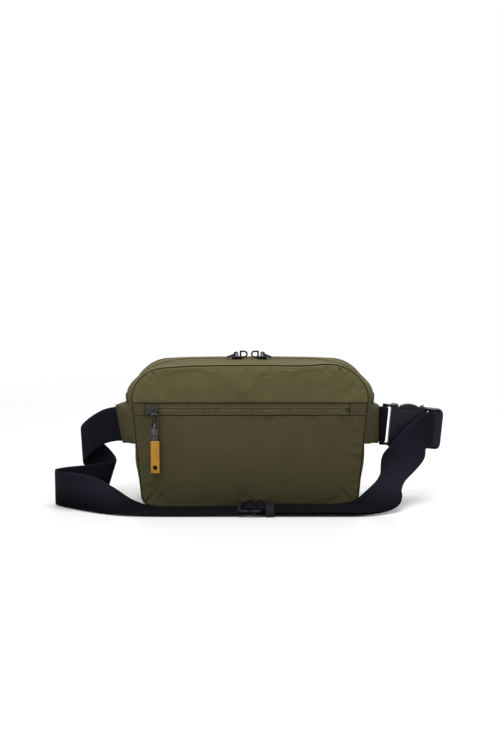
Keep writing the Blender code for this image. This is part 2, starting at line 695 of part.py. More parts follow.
def make_buckle_male():
    base, outer = MALE_BASE, MALE_OUTER_BAR
    origin = (base[0], BELT_Y, BELT_Z)
    through = 0.02
    prong_tip, prong_half_depth, prong_half_height = 0.1580, 0.0022, 0.0045
    item = add_object("buckle_male",
                      lambda bm: bevelled_box(bm, *frame_box((base[0], outer[1]), MALE_HALF_DEPTH,
                                                             MALE_HALF_HEIGHT), PLASTIC_BEVEL),
                      BLACK_PLASTIC, origin=origin)
    boolean(item, lambda bm: box(bm, *frame_box((base[1], outer[0]), through, SLOT_HALF_HEIGHT)),
            "DIFFERENCE", "opening")
    boolean(item, lambda bm: bevelled_box(bm, *frame_box(MALE_INNER_BAR, BAR_HALF_DEPTH,
                                                         SLOT_HALF_HEIGHT + 0.001), 0.0009),
            "UNION", "inner_bar")
    boolean(item, lambda bm: box(bm, *frame_box((prong_tip, base[0] + 0.0010), prong_half_depth,
                                                prong_half_height)), "UNION", "guide_prong")
    hang(item)


def make_latch_arm(name, sign):
    """One sprung arm: root at the base, a catch behind the mouth band and a thumb pad."""
    root_x = MALE_BASE[0] - GAP
    root_z, half_depth = 0.01025, 0.0030
    profile = [(root_x, 0.0080), (root_x, 0.0125), (0.1768, 0.0160), (0.1762, 0.0160),
               (0.1756, 0.0162), (0.1756, 0.0215), (0.1715, 0.0236), (0.1660, 0.0246),
               (0.1622, 0.0236), (0.1600, 0.0205), (0.1602, 0.0150), (0.1660, 0.0132),
               (0.1760, 0.0110)]
    outline = [(x, BELT_Z + sign * z) for x, z in profile]
    item = add_object(name, lambda bm: prism_xz(bm, outline, BELT_Y - half_depth,
                                                BELT_Y + half_depth),
                      BLACK_PLASTIC, origin=(root_x, BELT_Y, BELT_Z + sign * root_z))
    hang(item)


# ---------------------------------------------------------------- strap hardware
def make_tri_glide():
    low, high = TRI_GLIDE_Z
    half = 0.0217
    item = add_object("tri_glide",
                      lambda bm: bevelled_box(bm, (-0.0130, FRONT_RUN_Y - half, low),
                                              (0.0130, FRONT_RUN_Y + half, high), 0.0006),
                      BLACK_PLASTIC, origin=(0, FRONT_RUN_Y, low))
    slot = 0.0195
    for label, start, end in (("left_slot", -0.0098, -0.0020), ("right_slot", 0.0020, 0.0096)):
        boolean(item, lambda bm: box(bm, (start, FRONT_RUN_Y - slot, low - 0.01),
                                     (end, FRONT_RUN_Y + slot, high + 0.01)), "DIFFERENCE", label)


def make_keeper():
    """A flat loop round both layers of webbing."""
    inner_half, wall = 0.0195, 0.0012
    item = add_object("strap_keeper",
                      lambda bm: bevelled_box(bm, (KEEPER_X[0], FRONT_RUN_Y - inner_half - wall,
                                                   0.0003),
                                              (KEEPER_X[1], FRONT_RUN_Y + inner_half + wall,
                                               0.0067), 0.0004),
                      BLACK_PLASTIC, origin=(KEEPER_X[0], FRONT_RUN_Y, 0.0003))
    boolean(item, lambda bm: box(bm, (KEEPER_X[0] - 0.01, FRONT_RUN_Y - inner_half, 0.0013),
                                 (KEEPER_X[1] + 0.01, FRONT_RUN_Y + inner_half, 0.0055)),
            "DIFFERENCE", "keeper_opening")


# ---------------------------------------------------------------- zip sliders and pulls
def arc(centre, radius, start, end, steps, plane):
    """Arc points; plane maps (u, v) to a vector."""
    points = []
    for i in range(steps + 1):
        angle = math.radians(start + (end - start) * i / steps)
        points.append(plane(centre[0] + radius * math.cos(angle),
                            centre[1] + radius * math.sin(angle)))
    return points


def make_front_slider():
    """Housing over the coil with a bail whose eye runs along X."""
    x, z = FRONT_SLIDER_X, FRONT_ZIP_Z
    back = FRONT_Y + TAPE_RECESS - GAP
    front = back - 0.0026
    origin = (x, back, z)
    item = add_object("front_slider",
                      lambda bm: bevelled_box(bm, (x - 0.0060, front, z - 0.0042),
                                              (x + 0.0060, back, z + 0.0042), 0.0008),
                      GUNMETAL, origin=origin)
    axis_y, axis_z = PULL_AXIS_Y, PULL_AXIS_Z
    bail = arc((axis_y, axis_z), 0.0019, 40, 320, 10,
               lambda y, zz: Vector((PULL_X, y, zz)))
    feet_y = front + 0.0010
    path = [Vector((PULL_X, feet_y, bail[0].z))] + bail + [Vector((PULL_X, feet_y, bail[-1].z))]
    boolean(item, lambda bm: tube(bm, path, 0.0008, 8), "UNION", "bail")


def make_front_pull():
    origin = (PULL_X, PULL_AXIS_Y, PULL_AXIS_Z)
    wire = 0.00065
    half = LOOP_HALF_WIDTH
    corner = 0.0010

    def plane(x, z):
        return Vector((x, PULL_AXIS_Y, z))
    left, right = PULL_X - half, PULL_X + half
    points = arc((left + corner, PULL_AXIS_Z - corner), corner, 180, 90, 3, plane)
    points += arc((right - corner, PULL_AXIS_Z - corner), corner, 90, 0, 3, plane)
    points += arc((PULL_X, LOOP_BOTTOM_Z), half, 0, -180, 10, plane)
    add_object("front_pull_loop", lambda bm: tube(bm, points, wire, 8, closed=True), GUNMETAL,
               origin=origin)

    swing = (PULL_X, PULL_AXIS_Y, LOOP_BOTTOM_Z)
    cord = 0.00075
    reach = cord + wire + 0.0004
    wire_z = LOOP_BOTTOM_Z - half
    strand = 0.0011
    route = [(PULL_X - strand, PULL_AXIS_Y, TAB_TOP - 0.0120),
             (PULL_X - strand, PULL_AXIS_Y, TAB_TOP),
             (PULL_X - strand, PULL_AXIS_Y - 0.0003, 0.0780),
             (PULL_X - strand * 0.8, PULL_AXIS_Y - 0.0012, 0.0835),
             (PULL_X - strand * 0.4, PULL_AXIS_Y - reach, wire_z - 0.0002),
             (PULL_X, PULL_AXIS_Y - reach * 0.05, wire_z + reach),
             (PULL_X + strand * 0.4, PULL_AXIS_Y + reach, wire_z - 0.0002),
             (PULL_X + strand * 0.8, PULL_AXIS_Y + 0.0012, 0.0835),
             (PULL_X + strand, PULL_AXIS_Y + 0.0003, 0.0780),
             (PULL_X + strand, PULL_AXIS_Y, TAB_TOP),
             (PULL_X + strand, PULL_AXIS_Y, TAB_TOP - 0.0120)]
    add_object("pull_cord", lambda bm: tube(bm, smooth_points(route, 4), cord, 8), CORD_GREY,
               origin=swing)

    tab_y = PULL_AXIS_Y - 0.0004
    tab = add_object("leather_tab",
                     lambda bm: bevelled_box(bm, (PULL_X - TAB_HALF_WIDTH, tab_y - TAB_HALF_THICK,
                                                  TAB_BOTTOM),
                                             (PULL_X + TAB_HALF_WIDTH, tab_y + TAB_HALF_THICK,
                                              TAB_TOP), 0.0004, 1), LEATHER, origin=swing)
    pocket_half_x = strand + cord + GAP
    boolean(tab, lambda bm: box(bm, (PULL_X - pocket_half_x, PULL_AXIS_Y - cord - 0.0002,
                                     TAB_TOP - 0.0124),
                                (PULL_X + pocket_half_x, PULL_AXIS_Y + cord + 0.0002,
                                 TAB_TOP + 0.002)), "DIFFERENCE", "cord_pocket")

    def ring_rows(profile):
        def build(bm):
            sides = 20
            rings = []
            for k in range(sides):
                angle = 2 * math.pi * k / sides
                rings.append([(PULL_X + r * math.cos(angle), y, EYELET_Z + r * math.sin(angle))
                              for r, y in profile])
            loft(bm, rings, closed=True)
        return build
    hole = 0.0018

    def drill(bm):
        circle = [(PULL_X + hole * math.cos(2 * math.pi * k / 20),
                   EYELET_Z + hole * math.sin(2 * math.pi * k / 20)) for k in range(20)]
        prism_xz(bm, circle, tab_y - 0.005, tab_y + 0.005)
    boolean(tab, drill, "DIFFERENCE", "eyelet_hole")
    front = tab_y - TAB_HALF_THICK
    back = tab_y + TAB_HALF_THICK
    add_object("tab_eyelet",
               ring_rows([(0.0010, front - 0.0004), (0.0014, front - 0.0007),
                          (0.0024, front - 0.0006), (0.0024, front - GAP), (0.0015, front - GAP),
                          (0.0015, back), (0.0010, back)]), GUNMETAL, origin=swing)


def middle_plane(x, z):
    return Vector((x, 0, z))


def make_top_slider(side, x, sign):
    """Slider on the straight top run: housing, bail and the lock eye that faces the middle."""
    seat = BAG_HEIGHT + TOP_CROWN + GAP
    housing_top = seat + 0.0026
    origin = (x, 0, seat)
    item = add_object("top_slider_" + side,
                      lambda bm: bevelled_box(bm, (x - 0.0055, -0.0043, seat),
                                              (x + 0.0055, 0.0043, housing_top), 0.0008),
                      GUNMETAL, origin=origin)
    hinge = (x + sign * 0.0010, housing_top + 0.0022)
    bail = arc(hinge, 0.0019, -50, 230, 10, middle_plane)
    feet_z = housing_top - 0.0010
    path = [Vector((bail[0].x, 0, feet_z))] + bail + [Vector((bail[-1].x, 0, feet_z))]
    boolean(item, lambda bm: tube(bm, path, 0.0008, 8), "UNION", "bail")
    inner = x - sign * 0.0048
    eye = arc((inner - sign * 0.0030, seat + 0.0046), 0.0030, 90, 270, 8, middle_plane)
    if sign < 0:
        eye = [Vector((2 * (inner - sign * 0.0030) - p.x, 0, p.z)) for p in eye]
    start = Vector((inner + sign * 0.0010, 0, eye[0].z))
    end = Vector((inner + sign * 0.0010, 0, eye[-1].z))
    upright = [start] + eye + [end]
    boolean(item, lambda bm: tube(bm, upright, 0.0009, 8), "UNION", "lock_eye")
    boolean(item, lambda bm: box(bm, (min(inner, inner + sign * 0.0018), -0.0012, seat + 0.0010),
                                 (max(inner, inner + sign * 0.0018), 0.0012, seat + 0.0084)),
            "UNION", "nose")

    slope = math.radians(20)
    length = 0.0095
    half = 0.0020
    direction = Vector((sign * math.cos(slope), 0, -math.sin(slope)))
    top = Vector((hinge[0], 0, hinge[1]))
    corner = 0.0007
    points = []
    for along, across in ((0, -half + corner), (0, half - corner), (corner, half),
                          (length - corner, half), (length, half - corner),
                          (length, -half + corner), (length - corner, -half), (corner, -half)):
        points.append(top + direction * along + Vector((0, across, 0)))
    add_object("top_pull_" + side, lambda bm: tube(bm, points, 0.0008, 8, closed=True), GUNMETAL,
               origin=top)


def main():
    for item in list(bpy.data.objects):
        bpy.data.objects.remove(item)
    make_fabric_shell()
    make_zip_end_tab("zip_end_tab_left", -1)
    make_zip_end_tab("zip_end_tab_right", 1)
    make_wing("wing_left", -1, WING_LEFT_END, WING_LEFT_SLANT)
    make_wing("wing_right", 1, WING_RIGHT_END, 0.0)
    make_belt()
    make_buckle_female()
    make_buckle_male()
    make_latch_arm("latch_arm_upper", 1)
    make_latch_arm("latch_arm_lower", -1)
    make_tri_glide()
    make_keeper()
    make_front_slider()
    make_front_pull()
    make_top_slider("left", TOP_SLIDER_LEFT_X, -1)
    make_top_slider("right", TOP_SLIDER_RIGHT_X, 1)


main()
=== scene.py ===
"""Looks for the fabric waist pack: sewn olive cloth, zips, webbing belt and moulded hardware.

Metres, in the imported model's own frame: +X is right in a front view, -Y is the front, +Z is up.
"""

import json
import math

import bmesh
import bpy
import numpy as np
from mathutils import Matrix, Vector, noise

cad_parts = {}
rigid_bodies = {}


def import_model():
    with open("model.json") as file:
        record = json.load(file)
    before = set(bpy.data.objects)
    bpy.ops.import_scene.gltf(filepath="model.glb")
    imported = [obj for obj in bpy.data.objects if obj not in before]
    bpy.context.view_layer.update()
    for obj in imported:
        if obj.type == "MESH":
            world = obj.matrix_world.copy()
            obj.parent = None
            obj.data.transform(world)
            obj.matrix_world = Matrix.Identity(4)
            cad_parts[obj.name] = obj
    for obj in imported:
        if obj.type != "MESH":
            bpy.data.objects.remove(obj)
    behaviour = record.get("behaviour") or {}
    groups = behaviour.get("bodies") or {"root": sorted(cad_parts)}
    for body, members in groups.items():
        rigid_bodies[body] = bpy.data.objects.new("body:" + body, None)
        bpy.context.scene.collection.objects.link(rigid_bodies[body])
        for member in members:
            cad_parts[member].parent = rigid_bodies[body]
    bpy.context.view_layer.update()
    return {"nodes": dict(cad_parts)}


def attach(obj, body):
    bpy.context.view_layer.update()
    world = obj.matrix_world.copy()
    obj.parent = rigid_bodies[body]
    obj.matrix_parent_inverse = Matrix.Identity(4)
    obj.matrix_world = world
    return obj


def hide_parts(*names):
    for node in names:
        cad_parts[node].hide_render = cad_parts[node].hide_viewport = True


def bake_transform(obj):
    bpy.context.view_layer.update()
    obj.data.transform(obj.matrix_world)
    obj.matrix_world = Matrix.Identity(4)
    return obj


for item in list(bpy.data.objects):
    bpy.data.objects.remove(item)
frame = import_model()
NODES = frame["nodes"]
TURN = 2 * math.pi

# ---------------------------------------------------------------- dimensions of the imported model
MIDDLE = (0, 0, 0.075)
GAP = 0.0003
FABRIC = 0.0020
BAG_HEIGHT = 0.1515
BOTTOM_CORNER_X = 0.1135
TOP_CORNER_X = 0.1275
TOP_RADIUS = 0.035
BOTTOM_RADIUS = 0.012
DEPTH_HALF = 0.031
SIDE_CROWN_LOW = 0.0035
SIDE_CROWN_HIGH = 0.0075
TOP_CROWN = 0.0030
CROWN_FROM_Z = 0.070
CROWN_TO_Z = 0.110
BAND_LOW = 0.0990
BAND_HIGH = 0.1120
FRONT_ZIP_Z = 0.1045
FRONT_ZIP_LEFT = -0.1110
FRONT_ZIP_RIGHT = 0.1048
CHAIN_HALF = 0.0016
TAPE_RECESS = 0.0007
POCKET_CROWN = 0.0036
UPPER_CROWN = 0.0020
FRONT_Y = -(DEPTH_HALF + GAP + FABRIC)
BACK_Y = DEPTH_HALF + GAP + FABRIC
TOP_ZIP_END_Z = 0.1120
TOP_TAPE_HALF = 0.0062
WEBBING_HALF = 0.019
WEBBING = 0.0015
BELT_Y = 0.0140
BELT_Z = 0.0810
WING_HALF_HEIGHT = 0.0210
WING_RIGHT_END = 0.1395
WING_LEFT_END = 0.1420
WING_LEFT_SLANT = 0.0036
WING_RISE = 0.0055
BUCKLE_BAR = (0.1422, 0.1467)
BUCKLE_DROOP = math.radians(5)
FRONT_RUN_Y = -0.0565
FLOOR_RUN_Z = 0.0012
RAISED_RUN_Z = 0.00237
LAYER_OFFSET = 0.00097
FRONT_SLIDER_X = -0.1025
SLIDER_HEIGHT = 0.0026
PULL_X = -0.1000
PULL_AXIS_Y = -0.0386
PULL_AXIS_Z = 0.1012
LOOP_HALF_WIDTH = 0.0029
LOOP_BOTTOM_Z = 0.0905
TAB_TOP = 0.0722
TAB_BOTTOM = 0.0380

# ---------------------------------------------------------------- filled cloth and its thicknesses
SIDE_SAG = 0.0022
SAG_Z = 0.0440
SAG_REACH = 0.0150
SETTLE_FROM_Z = 0.116
SETTLE_REACH = 0.030
CORNER_SINK = 0.0016
CROSS_SINK = 0.0036
SEAM_ROLL = 0.0020
FOLD_ROLL = 0.0010
FRONT_CLOTH = 0.0014
GUSSET_CLOTH = 0.0016
PATCH_CLOTH = 0.0012
TAPE = 0.0009
COIL = 0.0010
COIL_PITCH = 0.0014
RIDGE_WIDTH = 0.0004
HEM_Z = 0.0163


# ---------------------------------------------------------------- materials
def linear(value):
    """Linear light from an sRGB value between 0 and 255."""
    share = value / 255
    return share / 12.92 if share <= 0.04045 else ((share + 0.055) / 1.055) ** 2.4


def shade(rgb, share=1.0):
    """A shader colour from sRGB values, all scaled by a share."""
    return (*(linear(min(255, channel * share)) for channel in rgb), 1.0)


class Nodes:
    """Small helper that adds and links shader nodes."""

    def __init__(self, name):
        self.material = bpy.data.materials.new(name)
        self.material.use_nodes = True
        self.tree = self.material.node_tree
        self.shader = self.tree.nodes["Principled BSDF"]

    def add(self, kind, **values):
        node = self.tree.nodes.new(kind)
        for key, value in values.items():
            if hasattr(node, key):
                setattr(node, key, value)
            else:
                node.inputs[key].default_value = value
        return node

    def link(self, source, target):
        self.tree.links.new(source, target)

    def feed(self, socket, source):
        self.link(source, self.shader.inputs[socket])

    def place(self):
        return self.add("ShaderNodeTexCoord").outputs["Object"]

    def flat_place(self):
        return self.add("ShaderNodeTexCoord").outputs["UV"]

    def split(self, vector):
        node = self.add("ShaderNodeSeparateXYZ")
        self.link(vector, node.inputs[0])
        return node.outputs

    def math(self, operation, *values):
        node = self.add("ShaderNodeMath", operation=operation)
        for socket, value in zip(node.inputs, values):
            if isinstance(value, (int, float)):
                socket.default_value = value
            else:
                self.link(value, socket)
        return node.outputs[0]

    def wave(self, along, pitch):
        """A sine of the given wavelength."""
        return self.math("SINE", self.math("MULTIPLY", along, TURN / pitch))

    def ramp(self, factor, low, high, stops=(0.0, 1.0)):
        node = self.add("ShaderNodeValToRGB")
        for element, stop, colour in zip(node.color_ramp.elements, stops, (low, high)):
            element.position = stop
            element.color = colour
        self.link(factor, node.inputs["Fac"])
        return node.outputs["Color"]

    def spread(self, source, to=(0.0, 1.0), start=(0.0, 1.0)):
        """A value carried from one span to another, clamped at its ends."""
        node = self.add("ShaderNodeMapRange")
        for socket, value in zip(("From Min", "From Max", "To Min", "To Max"), (*start, *to)):
            node.inputs[socket].default_value = value
        self.link(source, node.inputs["Value"])
        return node.outputs["Result"]

    def mix(self, factor, first, second):
        node = self.add("ShaderNodeMix", data_type="RGBA")
        for socket, value in zip(("Factor", "A", "B"), (factor, first, second)):
            if isinstance(value, (float, tuple)):
                node.inputs[socket].default_value = value
            else:
                self.link(value, node.inputs[socket])
        return node.outputs["Result"]

    def noise(self, vector, scale, detail=3.0):
        node = self.add("ShaderNodeTexNoise", Scale=scale, Detail=detail)
        self.link(vector, node.inputs["Vector"])
        return node.outputs["Fac"]

    def bump(self, height, distance, strength=1.0, normal=None):
        node = self.add("ShaderNodeBump", Strength=strength, Distance=distance)
        self.link(height, node.inputs["Height"])
        if normal is not None:
            self.link(normal, node.inputs["Normal"])
        return node.outputs["Normal"]

    def finish(self, roughness=None, metallic=0.0, sheen=0.0, specular=0.5):
        inputs = self.shader.inputs
        if roughness is not None:
            inputs["Roughness"].default_value = roughness
        inputs["Metallic"].default_value = metallic
        inputs["Specular IOR Level"].default_value = specular
        inputs["Sheen Weight"].default_value = sheen
        inputs["Sheen Roughness"].default_value = 0.45
        return self.material


def woven(name, rgb, pitch=0.00075, roughness=0.85):
    """Woven cloth: crossed yarns from the piece's own coordinates, with a faint uneven dye."""
    n = Nodes(name)
    place = n.place()
    x, y, z = n.split(place)
    warp = n.wave(n.math("ADD", n.math("ADD", x, y), z), pitch)
    weft = n.wave(n.math("SUBTRACT", n.math("SUBTRACT", z, x), y), 2 * pitch)
    weave = n.math("MULTIPLY_ADD", n.math("ADD", warp, n.math("MULTIPLY", weft, 0.6)), 0.3, 0.5)
    slub, dye, rumple = n.noise(place, 900.0, 2.0), n.noise(place, 28.0, 4.0), n.noise(place, 160.0)
    yarn = n.ramp(weave, shade(rgb, 0.86), shade(rgb))
    worn = n.ramp(dye, shade(rgb, 0.93), shade(rgb, 1.05), (0.3, 0.7))
    n.feed("Base Color", n.mix(n.math("MULTIPLY", slub, 0.25), n.mix(0.5, yarn, worn),
                               shade(rgb, 0.8)))
    n.feed("Roughness", n.spread(dye, (roughness - 0.06, roughness + 0.06)))
    n.feed("Normal", n.bump(weave, 0.00006, 0.6, n.bump(rumple, 0.00025, 0.35)))
    return n.finish(sheen=0.02, specular=0.12)


def ribbed_webbing(name, rgb):
    """Woven belt: fine ribs across its width, a herringbone shift and flat selvedges, with painted
    shade on the runs that lie low.
    """
    n = Nodes(name)
    place = n.place()
    along, across, _ = n.split(n.flat_place())
    herringbone = n.math("PINGPONG", n.math("ADD", across, 1.0), 0.0032)
    rib = n.wave(n.math("ADD", along, n.math("MULTIPLY", herringbone, 0.6)), 0.0019)
    cord = n.wave(across, 0.0016)
    height = n.math("MULTIPLY_ADD", n.math("ADD", rib, n.math("MULTIPLY", cord, 0.5)), 0.33, 0.5)
    selvedge = n.math("GREATER_THAN", n.math("ABSOLUTE", across), 0.0172)
    base = n.ramp(height, shade(rgb, 0.78), shade(rgb, 1.12))
    faded = n.mix(n.math("MULTIPLY", n.noise(place, 35.0, 4.0), 0.35), base, shade(rgb, 1.2))
    trimmed = n.mix(n.math("MULTIPLY", selvedge, 0.35), faded, shade(rgb, 1.35))

    # painted shade: the runs lying flat near the ground are darkened towards a much darker copy of
    # the webbing's colour, and their specular level is lowered
    low = n.spread(n.split(place)[2], start=(0.024, 0.006))
    n.feed("Base Color", n.mix(n.math("MULTIPLY", low, 0.85), trimmed, shade(rgb, 0.35)))
    n.feed("Specular IOR Level", n.spread(low, (0.07, 0.015)))
    n.feed("Normal", n.bump(height, 0.00012, 0.7, n.bump(n.noise(place, 700.0), 0.00012, 0.4)))
    return n.finish(0.75, sheen=0.02)


def coil_material(name, rgb):
    """Dull spun thread or moulded coil."""
    n = Nodes(name)
    place = n.place()
    n.feed("Base Color", n.ramp(n.noise(place, 300.0), shade(rgb, 0.8), shade(rgb), (0.35, 0.65)))
    n.feed("Normal", n.bump(n.noise(place, 1500.0, 2.0), 0.0001, 0.4))
    return n.finish(0.6, specular=0.2)


def moulded(name, rgb, roughness=0.42):
    """Moulded nylon: a fine satin grain with lighter, smoother scuffs."""
    n = Nodes(name)
    place = n.place()
    scuff = n.noise(place, 90.0, 6.0)
    n.feed("Base Color", n.ramp(scuff, shade(rgb), shade([c + 2.4 for c in rgb], 1.25), (0.5, 0.8)))
    n.feed("Roughness", n.spread(scuff, (roughness + 0.10, roughness - 0.08)))
    n.feed("Normal", n.bump(n.noise(place, 1400.0), 0.00006, 0.5))
    return n.finish(specular=0.32)


def cast_metal(name, rgb):
    """Dark plated zinc with a softly mottled finish and rubbed spots."""
    n = Nodes(name)
    mottle = n.noise(n.place(), 420.0, 5.0)
    n.feed("Base Color", n.ramp(mottle, shade(rgb, 0.7), shade(rgb, 1.25), (0.35, 0.7)))
    n.feed("Roughness", n.spread(mottle, (0.42, 0.26)))
    n.feed("Normal", n.bump(mottle, 0.00005, 0.35))
    return n.finish(metallic=0.9)


def braided(name, rgb):
    """Round cord with strands crossing on a diagonal, from its length and its turn."""
    n = Nodes(name)
    length, turned, _ = n.split(n.flat_place())
    along = n.math("MULTIPLY", length, TURN / 0.0011)
    around = n.math("MULTIPLY", turned, 3 * TURN)
    left = n.math("SINE", n.math("ADD", along, around))
    right = n.math("SINE", n.math("SUBTRACT", along, around))
    height = n.math("MULTIPLY_ADD", n.math("MULTIPLY", left, right), 0.5, 0.5)
    n.feed("Base Color", n.ramp(height, shade(rgb, 0.55), shade(rgb)))
    n.feed("Normal", n.bump(height, 0.00012, 0.7))
    return n.finish(0.7, sheen=0.2)


def leather(name, rgb):
    """Coated leather: pores, a cloudy tone and darker burnished edges."""
    n = Nodes(name)
    place = n.place()
    cells = n.add("ShaderNodeTexVoronoi", Scale=1500.0, feature="DISTANCE_TO_EDGE")
    n.link(place, cells.inputs["Vector"])
    tone = n.ramp(n.noise(place, 120.0, 4.0), shade(rgb, 0.86), shade(rgb), (0.3, 0.65))
    off_centre = n.math("ABSOLUTE", n.math("SUBTRACT", n.split(place)[0], PULL_X))
    burnt = n.math("MULTIPLY", n.spread(off_centre, start=(0.0036, 0.0049)), 0.6)
    n.feed("Base Color", n.mix(burnt, tone, shade(rgb, 0.55)))
    n.feed("Normal", n.bump(cells.outputs["Distance"], 0.00012, 0.4))
    return n.finish(0.46, specular=0.45)


OLIVE = woven("olive_cloth", (85, 80, 55))
# painted light: the same cloth as OLIVE with a lighter colour, standing for the upper panel facing
# the lamps more
OLIVE_PAINTED_LIT = woven("olive_cloth_painted_lit", (108, 102, 68))
OLIVE_GUSSET = woven("olive_gusset_cloth", (97, 92, 62))
# painted highlight: the welt is the same olive cloth coloured lighter, standing for light caught on
# the seam ridge
OLIVE_WELT_PAINTED_HIGHLIGHT = woven("olive_welt_painted_highlight", (122, 116, 82), pitch=0.0006)
# painted shadow: a dark olive for tubes set in the seam and fold grooves, where there is only shade
OLIVE_PAINTED_SHADOW = woven("olive_painted_seam_shadow", (42, 40, 27), pitch=0.0006)
OLIVE_TAPE = woven("olive_tape_weave", (94, 89, 62), pitch=0.0006, roughness=0.8)
OLIVE_COIL = coil_material("olive_coil", (103, 98, 70))
OLIVE_THREAD = coil_material("olive_thread", (98, 92, 64))
DARK_THREAD = coil_material("dark_thread", (48, 45, 31))
LINING = woven("grey_lining", (70, 72, 74), pitch=0.0005)
FOAM = coil_material("grey_foam", (60, 60, 62))
WEBBING_CLOTH = ribbed_webbing("navy_webbing_weave", (25, 25, 34))
PLASTIC = moulded("black_nylon", (29, 28, 40))
PLASTIC_LIGHT = moulded("black_nylon_keeper", (24, 24, 31), 0.6)
METAL = cast_metal("gunmetal_plate", (78, 78, 83))
TOP_METAL = cast_metal("blackened_top_hardware", (44, 44, 50))
DARK_METAL = cast_metal("blackened_eyelet", (46, 38, 30))
CORD = braided("grey_braid", (112, 109, 124))
STOP_METAL = cast_metal("bronzed_stop", (74, 70, 48))
MUSTARD = leather("mustard_hide", (212, 152, 46))
MUSTARD_THREAD = coil_material("mustard_thread", (150, 106, 40))


# ---------------------------------------------------------------- mesh helpers
def quads(rows, cols, wrap_rows=False, wrap_cols=False):
    """Faces of a grid of points, which may close on itself either way."""
    index = np.arange(rows * cols).reshape(rows, cols)
    if wrap_rows:
        index = np.vstack([index, index[:1]])
    if wrap_cols:
        index = np.hstack([index, index[:, :1]])
    return np.stack([index[:-1, :-1], index[:-1, 1:], index[1:, 1:], index[1:, :-1]],
                    axis=-1).reshape(-1, 4)


def make_piece(name, points, faces, material, away_from=None, uv=None):
    """A mesh object; faces turn away from a point, or outwards for a closed form."""
    mesh = bpy.data.meshes.new(name)
    mesh.from_pydata(np.asarray(points, float).reshape(-1, 3).tolist(), [],
                     [tuple(int(i) for i in face) for face in faces])
    bm = bmesh.new()
    bm.from_mesh(mesh)
    if away_from is None:
        bmesh.ops.recalc_face_normals(bm, faces=bm.faces)
        if bm.calc_volume(signed=True) < 0:
            bmesh.ops.reverse_faces(bm, faces=bm.faces)
    else:
        centre = Vector(away_from)
        bm.normal_update()
        total = sum((face.calc_center_median() - centre).normalized().dot(face.normal)
                    * face.calc_area() for face in bm.faces)
        if total < 0:
            bmesh.ops.reverse_faces(bm, faces=bm.faces)
    if uv is not None:
        flat = np.asarray(uv, float).reshape(-1, 2)
        layer = bm.loops.layers.uv.new("UVMap")
        for face in bm.faces:
            for loop in face.loops:
                loop[layer].uv = flat[loop.vert.index]
    bm.to_mesh(mesh)
    bm.free()
    mesh.shade_smooth()
    mesh.materials.append(material)
    item = bpy.data.objects.new(name, mesh)
    bpy.context.scene.collection.objects.link(item)
    return item


def finish_piece(item, body, slot_name, *nodes):
    """Attach the piece to what it rides on and hide the nodes that it stands for; slot_name is not
    used.
    """
    if body:
        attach(item, body)
    if nodes:
        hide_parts(*nodes)


def pack_cloth(item, *nodes):
    """Sewn cloth or thread that rides on the pack."""
    finish_piece(item, "pack", "olive_fabric", *nodes)


def thicken(item, thickness):
    """Thickness added on the inner side."""
    modifier = item.modifiers.new("thickness", "SOLIDIFY")
    modifier.thickness = thickness
    modifier.offset = -1


def smooth_points(points, per_span):
    """Catmull-Rom points through a list of vectors."""
    points = [Vector(p) for p in points]
    ends = [points[0] * 2 - points[1]] + points + [points[-1] * 2 - points[-2]]
    result = []
    for i in range(1, len(ends) - 2):
        a, b, c, d = ends[i - 1:i + 3]
        for step in range(per_span):
            t = step / per_span
            result.append(0.5 * (2 * b + (c - a) * t + (2 * a - 5 * b + 4 * c - d) * t ** 2
                                 + (3 * b - a - 3 * c + d) * t ** 3))
    result.append(points[-1])
    return result


def tube(name, points, radius, material, sides, closed=False):
    """A round wire or cord along points, with its length and turn as UV."""
    count = len(points)
    rings, uv = [], []
    side = None
    length = 0.0
    for i, point in enumerate(points):
        point = Vector(point)
        before = Vector(points[(i - 1) % count] if closed or i else point)
        after = Vector(points[(i + 1) % count] if closed or i < count - 1 else point)
        tangent = (after - before).normalized()
        if side is None:
            side = tangent.orthogonal().normalized()
        side = (side - side.dot(tangent) * tangent).normalized()
        other = tangent.cross(side)
        length += (point - before).length if i else 0.0
        angles = [TURN * k / sides for k in range(sides)]
        ring = [point + radius * (side * math.cos(angle) + other * math.sin(angle))
                for angle in angles]
        rings.append([tuple(p) for p in ring])
        uv.append([(length, k / sides) for k in range(sides)])
    faces = quads(count, sides, wrap_rows=closed, wrap_cols=True).tolist()
    if not closed:
        faces.append(list(range(sides))[::-1])
        faces.append([(count - 1) * sides + k for k in range(sides)])
    return make_piece(name, rings, faces, material, uv=uv)


def arc(centre, radius, start, end, steps, plane):
    """Points of an arc in degrees; plane(u, v) gives each its place."""
    points = []
    for i in range(steps + 1):
        angle = math.radians(start + (end - start) * i / steps)
        points.append(plane(centre[0] + radius * math.cos(angle),
                            centre[1] + radius * math.sin(angle)))
    return points


